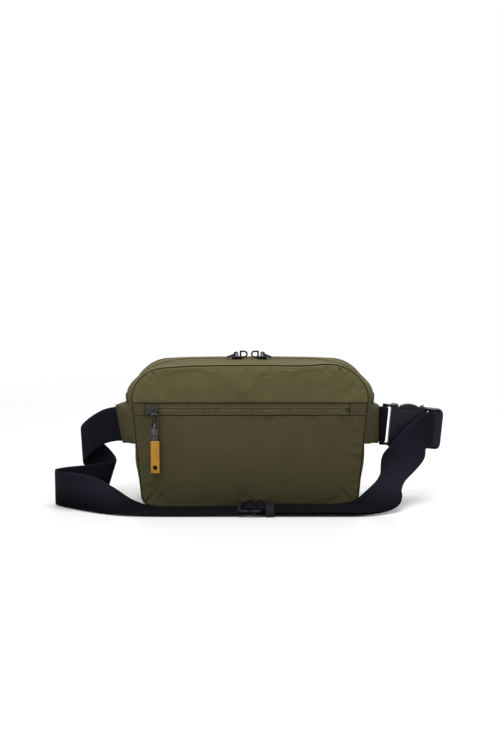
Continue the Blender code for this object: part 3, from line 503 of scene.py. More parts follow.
def stitches(name, points, normals, material, pitch=0.0034, length=0.0026, radius=0.00026,
             lift=0.00008):
    """A row of separate thread stitches along a line that lies on a surface."""
    points = np.asarray(points, float)
    normals = np.asarray(normals, float)
    steps = np.linalg.norm(np.diff(points, axis=0), axis=1)
    along = np.concatenate([[0], np.cumsum(steps)])
    count = max(1, int(along[-1] / pitch))
    sides, shape = 6, ((-1.0, 0.15, -1.0), (-0.82, 0.8, -0.1), (0.0, 1.0, 0.5),
                       (0.82, 0.8, -0.1), (1.0, 0.15, -1.0))
    verts, faces = [], []
    for i in range(count):
        middle = (i + 0.5) * pitch
        base = np.array([np.interp(middle, along, points[:, k]) for k in range(3)])
        ahead = np.array([np.interp(middle + 0.0008, along, points[:, k]) for k in range(3)])
        up = np.array([np.interp(middle, along, normals[:, k]) for k in range(3)])
        forward = ahead - base
        if np.linalg.norm(forward) < 1e-7:
            continue
        forward /= np.linalg.norm(forward)
        up -= up.dot(forward) * forward
        up /= np.linalg.norm(up)
        out = np.cross(forward, up)
        first = len(verts)
        for step, share, height in shape:
            centre = base + forward * (step * length / 2) + up * (lift + height * radius)
            for k in range(sides):
                angle = TURN * k / sides
                verts.append(centre + radius * share * (out * math.cos(angle)
                                                        + up * math.sin(angle)))
        for row in range(len(shape) - 1):
            for k in range(sides):
                a, b = first + row * sides + k, first + row * sides + (k + 1) % sides
                faces.append((a, b, b + sides, a + sides))
        faces.append(tuple(first + k for k in range(sides))[::-1])
        faces.append(tuple(first + (len(shape) - 1) * sides + k for k in range(sides)))
    return make_piece(name, verts, faces, material)


# ---------------------------------------------------------------- the pack's outline
def fillet(corner, before, after, radius, steps):
    """Points of the arc that rounds a corner between two neighbours."""
    corner, before, after = Vector(corner), Vector(before), Vector(after)
    into = (before - corner).normalized()
    out = (after - corner).normalized()
    half_angle = into.angle(out) / 2
    reach = radius / math.tan(half_angle)
    centre = corner + (into + out).normalized() * (radius / math.sin(half_angle))
    start = corner + into * reach - centre
    sweep = math.pi - 2 * half_angle
    turn = 1 if start.y * into.x - start.x * into.y > 0 else -1
    points = []
    for i in range(steps + 1):
        angle = turn * sweep * i / steps
        points.append(centre + Vector((start.x * math.cos(angle) - start.y * math.sin(angle),
                                       start.x * math.sin(angle) + start.y * math.cos(angle))))
    return points


def half_outline():
    """Right half of the seam outline, bottom middle to top middle, in 2 to 3 mm steps."""
    bottom = Vector((BOTTOM_CORNER_X, 0))
    top = Vector((TOP_CORNER_X, BAG_HEIGHT))
    low_arc = fillet(bottom, (0, 0), top, BOTTOM_RADIUS, 9)
    high_arc = fillet(top, bottom, (0, BAG_HEIGHT), TOP_RADIUS, 20)
    base = [low_arc[0] * (i / 40) for i in range(40)]
    start, end = low_arc[-1], high_arc[0]
    heights = sorted(list(np.linspace(start.y, end.y, 44)[1:-1]) + [TOP_ZIP_END_Z])
    side = [start.lerp(end, (z - start.y) / (end.y - start.y)) for z in heights]
    crest_end = high_arc[-1]
    crest = [Vector((crest_end.x * (1 - i / 40), BAG_HEIGHT)) for i in range(1, 41)]
    return base + low_arc + side + high_arc + crest


HALF = np.array([(p.x, p.y) for p in half_outline()])


def normals_of(points):
    """Outward unit normals of the right half outline."""
    before = np.vstack([[-points[1, 0], points[1, 1]], points[:-1]])
    after = np.vstack([points[1:], [-points[-2, 0], points[-2, 1]]])
    along = after - before
    along /= np.linalg.norm(along, axis=1)[:, None]
    return np.stack([along[:, 1], -along[:, 0]], axis=1)


HALF_NORMALS = normals_of(HALF)
SEAM_LOOP = np.vstack([HALF, HALF[-2:0:-1] * (-1, 1)])


def mirror(array):
    """The same points on the left side."""
    return array * np.array((-1.0, 1.0))


def lower_path():
    """Points and normals round the bottom, from one zip end to the other."""
    low = HALF[:, 1] <= TOP_ZIP_END_Z + 1e-6
    points, normals = HALF[low].copy(), HALF_NORMALS[low]
    points[-1, 1] -= GAP
    return (np.vstack([mirror(points)[:0:-1], points]),
            np.vstack([mirror(normals)[:0:-1], normals]))


def upper_path():
    """Points and normals over the top, from one zip end to the other."""
    high = HALF[:, 1] >= TOP_ZIP_END_Z - 1e-6
    points, normals = HALF[high], HALF_NORMALS[high]
    return (np.vstack([points, mirror(points)[-2::-1]]),
            np.vstack([normals, mirror(normals)[-2::-1]]))


def half_width(z):
    """Half the pack's width at its seam, at heights z."""
    low = int(np.argmax(HALF[:, 1] > 1e-9))
    high = int(np.argmax(HALF[:, 1] >= BAG_HEIGHT - 1e-9))
    return np.interp(z, HALF[low - 1:high + 1, 1], HALF[low - 1:high + 1, 0])


def seam_distance(x, z):
    """Distance of points in the front plane from the seam line."""
    first = SEAM_LOOP
    second = np.roll(SEAM_LOOP, -1, axis=0)
    points = np.stack([x, z], axis=-1).reshape(-1, 1, 2)
    run = second - first
    share = ((points - first) * run).sum(-1) / (run * run).sum(-1)
    nearest = first + run * np.clip(share, 0, 1)[..., None]
    return np.linalg.norm(points - nearest, axis=-1).min(axis=1).reshape(np.shape(x))


def ease(value):
    """A smooth step from 0 to 1."""
    value = np.clip(value, 0.0, 1.0)
    return value * value * (3 - 2 * value)


def hump(value, middle, width):
    """A smooth rise to 1 about a middle value."""
    return np.exp(-((value - middle) / width) ** 2)


def gusset_crown(z, normal_z, y):
    """How far a gusset bulges between its seams, on the upright sides and on the level top."""
    rise = ease((z - CROWN_FROM_Z) / (CROWN_TO_Z - CROWN_FROM_Z))
    side = SIDE_CROWN_LOW + (SIDE_CROWN_HIGH - SIDE_CROWN_LOW) * rise
    side = side + SIDE_SAG * hump(z, SAG_Z, SAG_REACH)
    amount = side * (1 - normal_z ** 2) ** 2 + TOP_CROWN * normal_z ** 4 * (normal_z > 0)
    return amount * (1 - (y / DEPTH_HALF) ** 2)


def side_x(z, y):
    """Half width of the pack with its bulging sides."""
    return half_width(z) + gusset_crown(z, 0.0, y)


def front_crown(x, z):
    """How far the two front panels bulge; the zip band between them stays flat."""
    across = np.clip(1 - np.abs(x / half_width(z)) ** 3, 0, 1)
    low = POCKET_CROWN * across * np.clip(np.sin(np.pi * z / BAND_LOW), 0, 1) ** 1.2
    share = np.clip((z - BAND_HIGH) / (BAG_HEIGHT - BAND_HIGH), 0, 1)
    high = UPPER_CROWN * across * np.sin(np.pi * share)
    return np.where(z < BAND_LOW, low, np.where(z > BAND_HIGH, high, 0.0))


def roll(distance, radius):
    """How far a surface turns back at a rounded edge, by its distance from that edge."""
    inside = np.clip(radius - distance, 0, radius)
    return radius - np.sqrt(radius ** 2 - inside ** 2)


def settle(points):
    """Soft shape of the top: sunk towards its corners, most between the seams, with a wavy seam."""
    points = np.array(points, float)
    x, y, z = points[..., 0], points[..., 1], points[..., 2]
    crest_end = TOP_CORNER_X - 0.030
    drop = CORNER_SINK * np.clip(np.abs(x) / crest_end, 0, 1.2) ** 2
    between = np.clip(1 - (y / DEPTH_HALF) ** 2, 0, 1)
    drop += CROSS_SINK * ease((np.abs(x) - 0.066) / 0.034) * between
    front = ease((-y - 0.010) / 0.016)
    drop += front * (0.0012 * hump(x, -0.090, 0.020) - 0.0024 * hump(x, 0.083, 0.017))
    points[..., 2] = z - drop * ease((z - SETTLE_FROM_Z) / SETTLE_REACH)
    return points


def clustered(low, high, count, at_low=True, at_high=True, power=2.2):
    """Values from low to high that lie closer together near the chosen ends."""
    t = np.linspace(0, 1, count)
    if at_low and at_high:
        t = 0.5 * (1 + np.sign(2 * t - 1) * (1 - (1 - np.abs(2 * t - 1)) ** power))
    elif at_low:
        t = t ** power
    elif at_high:
        t = 1 - (1 - t) ** power
    return low + (high - low) * t


def wrinkle(x, y, z, scale, seed):
    """Smooth noise between -1 and 1 over arrays of coordinates."""
    shape = np.shape(x)
    flat = zip(np.ravel(x), np.ravel(y), np.ravel(z))
    values = [noise.noise(Vector((a * scale + seed, b * scale - seed, c * scale + 2 * seed)))
              for a, b, c in flat]
    return np.array(values).reshape(shape)


def crease(x, z, at, direction, reach, width, depth):
    """A pucker that starts at a seam point and fades out along a direction."""
    direction = np.array(direction, float)
    direction /= np.linalg.norm(direction)
    dx, dz = x - at[0], z - at[1]
    along = dx * direction[0] + dz * direction[1]
    off = dx * -direction[1] + dz * direction[0]
    fade = np.exp(-(np.clip(along, 0, None) / reach) ** 2) * ease((along + 0.003) / 0.004)
    spread = 1.9 * width
    valley = hump(off, 0, width) - 0.55 * (hump(off, spread, width) + hump(off, -spread, width))
    return depth * fade * valley


# ---------------------------------------------------------------- cloth simulation
def swell(item, held, spare, pressure, cap, frames=20):
    """Cloth held at some vertices, given spare length and pushed out; it moves less than cap."""
    scene = bpy.context.scene
    rest = np.array([v.co for v in item.data.vertices])
    group = item.vertex_groups.new(name="sewn")
    group.add([int(i) for i in held], 1.0, "REPLACE")
    modifier = item.modifiers.new("swell", "CLOTH")
    settings = modifier.settings
    settings.quality = 5
    settings.mass = 0.25
    settings.tension_stiffness = 30
    settings.compression_stiffness = 30
    settings.shear_stiffness = 20
    settings.bending_stiffness = 2.0
    settings.vertex_group_mass = "sewn"
    settings.shrink_min = -spare
    settings.use_pressure = True
    settings.uniform_pressure_force = pressure
    settings.effector_weights.gravity = 0
    modifier.collision_settings.use_collision = False
    modifier.point_cache.frame_start = 1
    modifier.point_cache.frame_end = frames
    for step in range(1, frames + 1):
        scene.frame_set(step)
    graph = bpy.context.evaluated_depsgraph_get()
    shaped = item.evaluated_get(graph).to_mesh()
    moved = np.array([v.co for v in shaped.vertices])
    item.evaluated_get(graph).to_mesh_clear()
    item.modifiers.remove(modifier)
    item.vertex_groups.clear()
    scene.frame_set(1)
    shift = moved - rest
    size = np.linalg.norm(shift, axis=1)
    limited = cap * np.tanh(size / cap)
    shift *= (limited / np.maximum(size, 1e-9))[:, None]
    item.data.vertices.foreach_set("co", (rest + shift).astype(np.float32).ravel())
    item.data.update()


# ---------------------------------------------------------------- front panels
# a pucker: seam point (X, Z), direction, reach, width, depth
UPPER_PUCKERS = (
    ((0.0945, 0.1505), (0.10, -1.0), 0.0085, 0.0019, 0.0016),
    ((0.1040, 0.1480), (-0.45, -1.0), 0.0060, 0.0014, 0.0008),
    ((0.0800, 0.1515), (0.35, -1.0), 0.0060, 0.0022, 0.0006),
    ((-0.1020, 0.1490), (0.25, -1.0), 0.0075, 0.0018, 0.0014),
    ((-0.0860, 0.1510), (-0.2, -1.0), 0.0060, 0.0022, 0.0006),
    ((-0.1095, 0.1450), (0.55, -1.0), 0.0060, 0.0013, 0.0008),
    ((0.1210, 0.1280), (-1.0, -0.25), 0.0070, 0.0014, 0.0005),
    ((-0.1215, 0.1270), (1.0, -0.35), 0.0070, 0.0014, 0.0005))
POCKET_PUCKERS = (
    ((0.1165, 0.0640), (-1.0, 0.10), 0.0080, 0.0024, 0.0008),
    ((0.1160, 0.0500), (-1.0, 0.30), 0.0090, 0.0030, 0.0007),
    ((0.1140, 0.0240), (-1.0, 0.35), 0.0070, 0.0020, 0.0006),
    ((-0.1150, 0.0290), (1.0, 0.25), 0.0080, 0.0022, 0.0007),
    ((-0.1080, 0.0060), (0.8, 1.0), 0.0100, 0.0022, 0.0008),
    ((0.1075, 0.0060), (-0.8, 1.0), 0.0100, 0.0022, 0.0008),
    ((-0.1180, 0.0710), (1.0, 0.0), 0.0070, 0.0022, 0.0005))


def front_cloth(name, material, rows, fold_z, fold_held, calm, waves, puckers, ridge):
    """A front panel turned back at its seam and its folded zip edge, and what swell must hold."""
    share, z = np.meshgrid(clustered(-1, 1, 121, power=1.7), rows)
    x = share * half_width(z)
    distance = seam_distance(x, z)
    from_fold = np.abs(z - fold_z)
    y = FRONT_Y - front_crown(x, z) + np.maximum(roll(distance, SEAM_ROLL),
                                                 roll(from_fold, FOLD_ROLL))
    inner = ease((distance - 0.0015) / calm)
    for depth, scale, seed in waves:
        y += depth * inner * wrinkle(x, y * 0, z, scale, seed)
    near = ease((distance - 0.0008) / 0.0020)
    for pucker in puckers:
        y += near * crease(x, z, *pucker)
    y += ridge * hump(distance, 0.0022, 0.0007)
    item = make_piece(name, settle(np.stack([x, y, z], -1)), quads(*x.shape), material, MIDDLE)
    return item, np.flatnonzero((distance.ravel() < 0.0035) | (from_fold.ravel() < fold_held))


def make_front_panels():
    low, high = BAND_HIGH + GAP, 0.120
    rows = np.concatenate([clustered(low, high, 12, True, False),
                           clustered(high, BAG_HEIGHT, 44, False, True, 1.8)[1:]])
    # the upper panel gets the lighter, painted-light copy of the olive cloth
    upper, sewn = front_cloth("front_upper_cloth", OLIVE_PAINTED_LIT, rows, low, 0.0013, 0.010,
                              ((0.00045, 26.0, 3.1), (0.00025, 80.0, 9.4)), UPPER_PUCKERS, 0.00035)
    swell(upper, sewn, spare=0.012, pressure=1.4, cap=0.0009)
    thicken(upper, FRONT_CLOTH)
    pack_cloth(upper, "front_upper_panel")

    low, high = 0.030, 0.085
    rows = np.concatenate([clustered(0.0004, low, 26, True, False, 1.7),
                           np.linspace(low, high, 26)[1:],
                           clustered(high, BAND_LOW - GAP, 16, False, True)[1:]])
    pocket, sewn = front_cloth("front_pocket_cloth", OLIVE, rows, BAND_LOW - GAP, 0.0015, 0.012,
                               ((0.0005, 16.0, 5.2), (0.00022, 70.0, 1.7)), POCKET_PUCKERS, 0.0)
    swell(pocket, sewn, spare=0.008, pressure=0.8, cap=0.0006)
    thicken(pocket, FRONT_CLOTH)
    pack_cloth(pocket, "front_pocket_panel")


def make_zip_patches():
    """The cloth beyond the ends of the front zip, each with a folded inner edge."""
    share, z = np.meshgrid(clustered(0, 1, 21), clustered(BAND_LOW, BAND_HIGH, 15))
    for name, inner, side, node in (
            ("front_zip_patch_left", FRONT_ZIP_LEFT - GAP, -1, "front_zip_end_left"),
            ("front_zip_patch_right", FRONT_ZIP_RIGHT + GAP, 1, "front_zip_end_right")):
        outer = side * half_width(z)
        left, right = (outer, inner) if side < 0 else (inner, outer)
        x = left + (right - left) * share
        from_inner = np.abs(x - inner)
        y = FRONT_Y + np.maximum(roll(seam_distance(x, z), SEAM_ROLL), roll(from_inner, 0.0006))
        y += 0.00025 * hump(from_inner, 0.0022, 0.0005)
        patch = make_piece(name, np.stack([x, y, z], -1), quads(*x.shape), OLIVE, (0, 0, 0.105))
        thicken(patch, PATCH_CLOTH)
        pack_cloth(patch, node)


def make_front_seam_shading():
    """Painted shade and highlight at the front seams: dark tubes round the front seam and along the
    zip's folds stand in for the shade there, and a raised welt behind the seam is coloured lighter
    as a painted highlight.
    """
    radius = 0.0011
    loop_normals = np.vstack([HALF_NORMALS, HALF_NORMALS[-2:0:-1] * (-1, 1)])
    for name, y, out, material in (
            ("front_seam_painted_shadow", -DEPTH_HALF - 0.0003, 0.0, OLIVE_PAINTED_SHADOW),
            ("front_seam_welt", -DEPTH_HALF + 0.0017, 0.0005, OLIVE_WELT_PAINTED_HIGHLIGHT)):
        edge = (SEAM_LOOP + loop_normals * out)[::2]
        path = settle(np.stack([edge[:, 0], np.full(len(edge), y), edge[:, 1]], -1))
        path[:, 2] = np.maximum(path[:, 2], radius)
        pack_cloth(tube(name, [Vector(p) for p in path], radius, material, 12, closed=True))
    # painted shadow tubes along the zip's folded edges
    for name, z in (("zip_fold_painted_shadow_upper", BAND_HIGH + 0.0001),
                    ("zip_fold_painted_shadow_lower", BAND_LOW - 0.0001)):
        reach = float(half_width(z)) - 0.0012
        line = [Vector((x, FRONT_Y + 0.0003, z)) for x in np.linspace(-reach, reach, 60)]
        pack_cloth(tube(name, line, 0.00055, OLIVE_PAINTED_SHADOW, 8))


def make_front_stitching():
    """Thread along the folded edges of the zip opening and across its ends."""
    along = np.linspace(-0.1175, 0.1175, 80)
    up = np.linspace(BAND_LOW + 0.001, BAND_HIGH - 0.001, 10)
    for name, xs, zs in (
            ("thread_zip_upper", along, np.full_like(along, BAND_HIGH + 0.0024)),
            ("thread_zip_lower", along, np.full_like(along, BAND_LOW - 0.0026)),
            ("thread_zip_left", np.full_like(up, FRONT_ZIP_LEFT - 0.0022), up),
            ("thread_zip_right", np.full_like(up, FRONT_ZIP_RIGHT + 0.0024), up)):
        line = np.stack([xs, FRONT_Y - front_crown(xs, zs), zs], -1)
        outward = np.tile((0.0, -1.0, 0.0), (len(xs), 1))
        pack_cloth(stitches(name, line, outward, OLIVE_THREAD))


def tooth(along, across):
    """Height of the coil's slanting turns, which fade at its two edges."""
    turns = 0.5 + 0.5 * np.cos(TURN * (along + 0.5 * np.abs(across)) / COIL_PITCH)
    return turns * (1 - (across / CHAIN_HALF) ** 4)


def make_front_zip():
    """Two woven tapes with raised welts, and the covered coil between them."""
    face = FRONT_Y + TAPE_RECESS
    xs = np.linspace(FRONT_ZIP_LEFT, FRONT_ZIP_RIGHT, 170)
    seat = CHAIN_HALF + 0.0001
    for name, low, high, chain_edge, node in (
            ("front_tape_upper", FRONT_ZIP_Z + seat, BAND_HIGH + 0.0004, FRONT_ZIP_Z + seat,
             "front_zip_tape_upper"),
            ("front_tape_lower", BAND_LOW - 0.0004, FRONT_ZIP_Z - seat, FRONT_ZIP_Z - seat,
             "front_zip_tape_lower")):
        z, x = np.meshgrid(np.linspace(low, high, 26), xs, indexing="ij")
        off = np.abs(z - chain_edge)
        y = face + 0.00003 * wrinkle(x, x * 0, z, 30.0, 4.0) + roll(off, 0.0004)
        y += 0.00030 * hump(off, 0.0017, RIDGE_WIDTH) - 0.00018 * hump(off, 0.0006, RIDGE_WIDTH)
        tape = make_piece(name, np.stack([x, y, z], -1), quads(*x.shape), OLIVE_TAPE,
                          (0, 0, 0.105))
        thicken(tape, TAPE)
        finish_piece(tape, "pack", "olive_zip_tape", node)
    stop_x = FRONT_ZIP_RIGHT - 0.0040
    xs = np.arange(FRONT_ZIP_LEFT, stop_x - GAP, COIL_PITCH / 6)
    z, x = np.meshgrid(np.linspace(-CHAIN_HALF, CHAIN_HALF, 13), xs, indexing="ij")
    y = face + 0.00030 - 0.00022 * tooth(x, z) + 0.0007 * hump(z, 0, 0.0003)
    chain = make_piece("front_zip_coil", np.stack([x, y, z + FRONT_ZIP_Z], -1), quads(*x.shape),
                       OLIVE_COIL, (0, 0, 0.105))
    thicken(chain, COIL)
    finish_piece(chain, "pack", "olive_zip_coil", "front_zip_chain")


# ---------------------------------------------------------------- gussets and top zip
SEAM_GROOVE = 0.0048
FOLD_GROOVE = 0.0032
BACK_GROOVE = 0.0085
FRONT_AND_BACK = (("front", -1), ("back", 1))


def strip_points(path, normals, depths, detail):
    """Points and normals of a strip along the outline; detail(y, x, z, normal z) adds height."""
    y, index = np.meshgrid(depths, np.arange(len(path)))
    px, pz = path[index, 0], path[index, 1]
    nx, nz = normals[index, 0], normals[index, 1]
    lift = gusset_crown(pz, nz, y) + detail(y, px, pz, nz)
    points = settle(np.stack([px + nx * lift, y, pz + nz * lift], -1))
    return points, np.stack([nx, np.zeros_like(nx), nz], -1)


def make_strip(name, run, depths, detail, material, thickness):
    points, _ = strip_points(*run, depths, detail)
    item = make_piece(name, points, quads(*points.shape[:2]), material, MIDDLE)
    thicken(item, thickness)
    return item


def make_strip_thread(name, run, y, detail, material, **thread):
    points, outward = strip_points(*run, np.array([y]), detail)
    pack_cloth(stitches(name, points[:, 0], outward[:, 0], material, **thread))


def seam_detail(y):
    """Rolled seam edge, the ridge beside it and a sewn groove."""
    off = DEPTH_HALF - np.abs(y)
    return -roll(off, 0.0014) + 0.0006 * hump(off, 0.0022, 0.0010) \
        - 0.0006 * hump(off, SEAM_GROOVE, 0.0008)


def side_sag(px, pz, nz, y):
    """Uneven fullness of the gusset: soft folds down the sides, calmer over the top."""
    inner = ease((DEPTH_HALF - np.abs(y) - 0.004) / 0.010)
    long_wave = wrinkle(px * 0 + np.sign(px), y, pz, 34.0, 7.7)
    short = wrinkle(px, y, pz, 75.0, 2.3)
    return inner * ((1 - nz ** 2) * (0.0011 * long_wave) + 0.00035 * short)


def lower_detail(y, px, pz, nz):
    """Gusset detail below the zip ends, pressed flat along the bottom."""
    flat = np.clip(-nz, 0, 1)
    return seam_detail(y) * (1 - 0.6 * flat) + side_sag(px, pz, nz, y) * (1 - 0.85 * flat) \
        - 0.0004 * flat


def upper_detail(y, px, pz, nz):
    """Gusset detail over the top, with a folded edge and its sewn groove beside the zip."""
    off = np.abs(y) - TOP_TAPE_HALF - GAP
    fold = 0.0004 - roll(off, 0.0009) - 0.0005 * hump(off, FOLD_GROOVE, 0.0006)
    return seam_detail(y) + fold + side_sag(px, pz, nz, y)


def top_tape_detail(y, *_):
    """The sunk tape with a welt and a groove along the coil."""
    off = np.abs(y) - CHAIN_HALF
    return -0.0005 + 0.0002 * hump(off, 0.0006, RIDGE_WIDTH) \
        - 0.0003 * hump(off, 0.0016, RIDGE_WIDTH) - roll(off, 0.0004)


def make_gussets():
    lower, upper = lower_path(), upper_path()
    level = 0.020
    depths = np.concatenate([clustered(-DEPTH_HALF, -level, 22, True, False, 1.3),
                             np.linspace(-level, level, 19)[1:-1],
                             clustered(level, DEPTH_HALF, 22, False, True, 1.3)])
    cloth = make_strip("lower_gusset_cloth", lower, depths, lower_detail, OLIVE_GUSSET,
                       GUSSET_CLOTH)
    pack_cloth(cloth, "lower_gusset")

    near, far = 0.0125, 0.0225
    for side, sign in FRONT_AND_BACK:
        depths = sign * np.concatenate([
            clustered(TOP_TAPE_HALF + GAP, near, 18, True, False, 1.3),
            np.linspace(near, far, 8)[1:-1],
            clustered(far, DEPTH_HALF, 20, False, True, 1.2)])
        cloth = make_strip(f"top_gusset_{side}_cloth", upper, depths, upper_detail, OLIVE_GUSSET,
                           GUSSET_CLOTH)
        pack_cloth(cloth, f"top_gusset_{side}")

    seam_y = DEPTH_HALF - SEAM_GROOVE
    fold_y = TOP_TAPE_HALF + GAP + FOLD_GROOVE
    for label, run, detail in (("lower", lower, lower_detail), ("upper", upper, upper_detail)):
        for side, sign in FRONT_AND_BACK:
            make_strip_thread(f"thread_seam_{label}_{side}", run, sign * seam_y, detail,
                              OLIVE_THREAD)
    for side, sign in FRONT_AND_BACK:
        make_strip_thread(f"thread_top_zip_{side}", upper, sign * fold_y, upper_detail,
                          DARK_THREAD, radius=0.00034)


def dense(path, normals, step):
    """The same path at an even, finer step, its normals and the length reached at each point."""
    lengths = np.concatenate([[0], np.cumsum(np.linalg.norm(np.diff(path, axis=0), axis=1))])
    at = np.arange(0, lengths[-1], step)
    points = np.stack([np.interp(at, lengths, path[:, k]) for k in range(2)], -1)
    turned = np.stack([np.interp(at, lengths, normals[:, k]) for k in range(2)], -1)
    return points, turned / np.linalg.norm(turned, axis=1)[:, None], at


def make_top_zip():
    run = upper_path()
    for side, sign in FRONT_AND_BACK:
        depths = sign * np.linspace(CHAIN_HALF + 0.0001, TOP_TAPE_HALF + 0.0006, 22)
        tape = make_strip(f"top_tape_{side}", run, depths, top_tape_detail, OLIVE_TAPE, TAPE)
        finish_piece(tape, "pack", "olive_zip_tape", f"top_zip_tape_{side}")
    fine, turned, at = dense(*run, COIL_PITCH / 6)
    y, along = np.meshgrid(np.linspace(-CHAIN_HALF, CHAIN_HALF, 13), at)
    lift = gusset_crown(fine[:, 1:], turned[:, 1:], y) - 0.00025 + 0.00030 * tooth(along, y) \
        - 0.0003 * hump(y, 0, 0.00022)
    points = np.stack([fine[:, :1] + turned[:, :1] * lift, y, fine[:, 1:] + turned[:, 1:] * lift],
                      -1)
    chain = make_piece("top_zip_coil", settle(points), quads(*points.shape[:2]), OLIVE_COIL,
                       MIDDLE)
    thicken(chain, COIL)
    finish_piece(chain, "pack", "olive_zip_coil", "top_zip_chain")


# ---------------------------------------------------------------- back pad
def make_back():
    """The padded back, with a sewn groove all round and its thread."""
    share, z = np.meshgrid(clustered(-1, 1, 81, power=1.5),
                           clustered(0.0004, BAG_HEIGHT, 60, power=1.5))
    x = share * half_width(z)
    distance = seam_distance(x, z)
    y = BACK_Y - roll(distance, SEAM_ROLL) - 0.0011 * hump(distance, BACK_GROOVE, 0.0013)
    back = make_piece("back_pad_cloth", settle(np.stack([x, y, z], -1)), quads(*x.shape), OLIVE,
                      MIDDLE)
    sewn = np.flatnonzero(distance.ravel() < BACK_GROOVE + 0.0007)
    swell(back, sewn, spare=0.010, pressure=2.2, cap=0.0032)
    thicken(back, FRONT_CLOTH)
    pack_cloth(back, "back_panel")
    inset = HALF - HALF_NORMALS * BACK_GROOVE
    line = np.vstack([inset, inset[-2:0:-1] * (-1, 1), inset[:1]])
    points = settle(np.stack([line[:, 0], np.full(len(line), BACK_Y - 0.0011), line[:, 1]], -1))
    outward = np.tile((0.0, 1.0, 0.0), (len(line), 1))
    pack_cloth(stitches("thread_back_pad", points, outward, OLIVE_THREAD))


# ---------------------------------------------------------------- wings and zip-end tabs
WING_FRONT_Y = -0.0285
WING_BACK_Y = 0.0275
WING_STEPS = 34
WING_RING = 72


def oval(half_y, half_z, square):
    """A ring between an ellipse and a rectangle."""
    angles = np.linspace(0, TURN, WING_RING, endpoint=False)
    c, s = np.cos(angles), np.sin(angles)
    return half_y * np.sign(c) * np.abs(c) ** square, half_z * np.sign(s) * np.abs(s) ** square


def make_wing(name, sign, end_x, slant, inner_half, node):
    """A tapering sewn sleeve from the side of the pack to the webbing, open at its outer end."""
    mouth = inner_half + 0.0021
    rings, lifts = [], []
    for step in range(WING_STEPS + 1):
        u = step / WING_STEPS
        front_share, back_share = (1 - u) ** 1.25, (1 - u) ** 1.6
        front = WING_FRONT_Y * front_share + (BELT_Y - mouth) * (1 - front_share)
        back = WING_BACK_Y * back_share + (BELT_Y + mouth) * (1 - back_share)
        y, z = oval((back - front) / 2, WING_HALF_HEIGHT, 0.28)
        y = y + (front + back) / 2
        rise = WING_RISE * (1 - u) ** 1.2
        inner_x = side_x(BELT_Z + z + rise, np.clip(y, WING_FRONT_Y, WING_BACK_Y)) + 0.0004
        outer_x = end_x + slant * z / WING_HALF_HEIGHT
        x = inner_x + (outer_x - inner_x) * u
        puff = 0.0008 * np.sin(np.pi * u) * (1 - (z / WING_HALF_HEIGHT) ** 2)
        pull = 0.0010 * wrinkle(x, y, z, 60.0, 4.4 + sign) * np.sin(np.pi * min(1, u + 0.25))
        hem = 0.0005 * hump(np.abs(z), HEM_Z, 0.0009)
        facing = np.where(y < (front + back) / 2, -1.0, 1.0)
        y = y + facing * (np.abs(z) < 0.0185) * (puff + pull * np.sin(np.pi * u) - hem)
        rings.append(np.stack([sign * x, y, BELT_Z + z + rise], -1))
        lifts.append(rise)
    for depth in (0.0004, 0.004, 0.0125):
        y, z = oval(inner_half + 0.0003, WING_HALF_HEIGHT - 0.0007, 0.22)
        outer_x = end_x + slant * z / WING_HALF_HEIGHT - depth
        rings.append(np.stack([sign * outer_x, BELT_Y + y, BELT_Z + z], -1))
    points = np.array(rings)
    wing = make_piece(name, points, quads(len(rings), WING_RING, wrap_cols=True), OLIVE,
                      (sign * 0.128, 0, BELT_Z))
    sewn = [ring * WING_RING + k for ring in (0, 1, *range(WING_STEPS - 2, len(rings)))
            for k in range(WING_RING)]
    swell(wing, sewn, spare=0.006, pressure=1.0, cap=0.0007)
    pack_cloth(wing, node)

    def face_line(z_off, facing):
        line = []
        for ring, rise in zip(points[3:WING_STEPS - 1], lifts[3:WING_STEPS - 1]):
            height = BELT_Z + z_off + rise
            side = ring[(np.abs(ring[:, 2] - height) < 0.0022)
                        & ((ring[:, 1] - ring[:, 1].mean()) * facing > 0)]
            if len(side):
                nearest = side[np.argsort(np.abs(side[:, 2] - height))[0]]
                line.append((nearest[0], nearest[1] + facing * 0.0002, height))
        return np.array(line)
    for label, z_off in (("high", HEM_Z), ("low", -HEM_Z)):
        for side, facing in FRONT_AND_BACK:
            line = face_line(z_off, facing)
            if len(line) > 3:
                outward = np.tile((sign * 0.5, facing, 0.0), (len(line), 1))
                pack_cloth(stitches(f"thread_{name}_{label}_{side}", line, outward, OLIVE_THREAD))


def make_zip_end_tab(name, sign, node):
    """A folded patch over the top zip's end."""
    half = 0.0086
    low, high = BELT_Z + WING_HALF_HEIGHT + WING_RISE + 0.0004, TOP_ZIP_END_Z + 0.0057
    z, y = np.meshgrid(np.linspace(low, high, 17), np.linspace(-half, half, 25), indexing="ij")
    edge = np.minimum(np.minimum(z - low, high - z), half - np.abs(y))
    x = side_x(z, y) + 0.0017 - roll(edge, 0.0011) - 0.0003 * hump(edge, 0.0020, 0.0004)
    x += 0.0002 * wrinkle(z, y, z * 0, 90.0, 6.0 + sign)
    patch = make_piece(name, np.stack([sign * x, y, z], -1), quads(*x.shape), OLIVE,
                       (sign * 0.09, 0, 0.113))
    thicken(patch, PATCH_CLOTH)
    pack_cloth(patch, node)


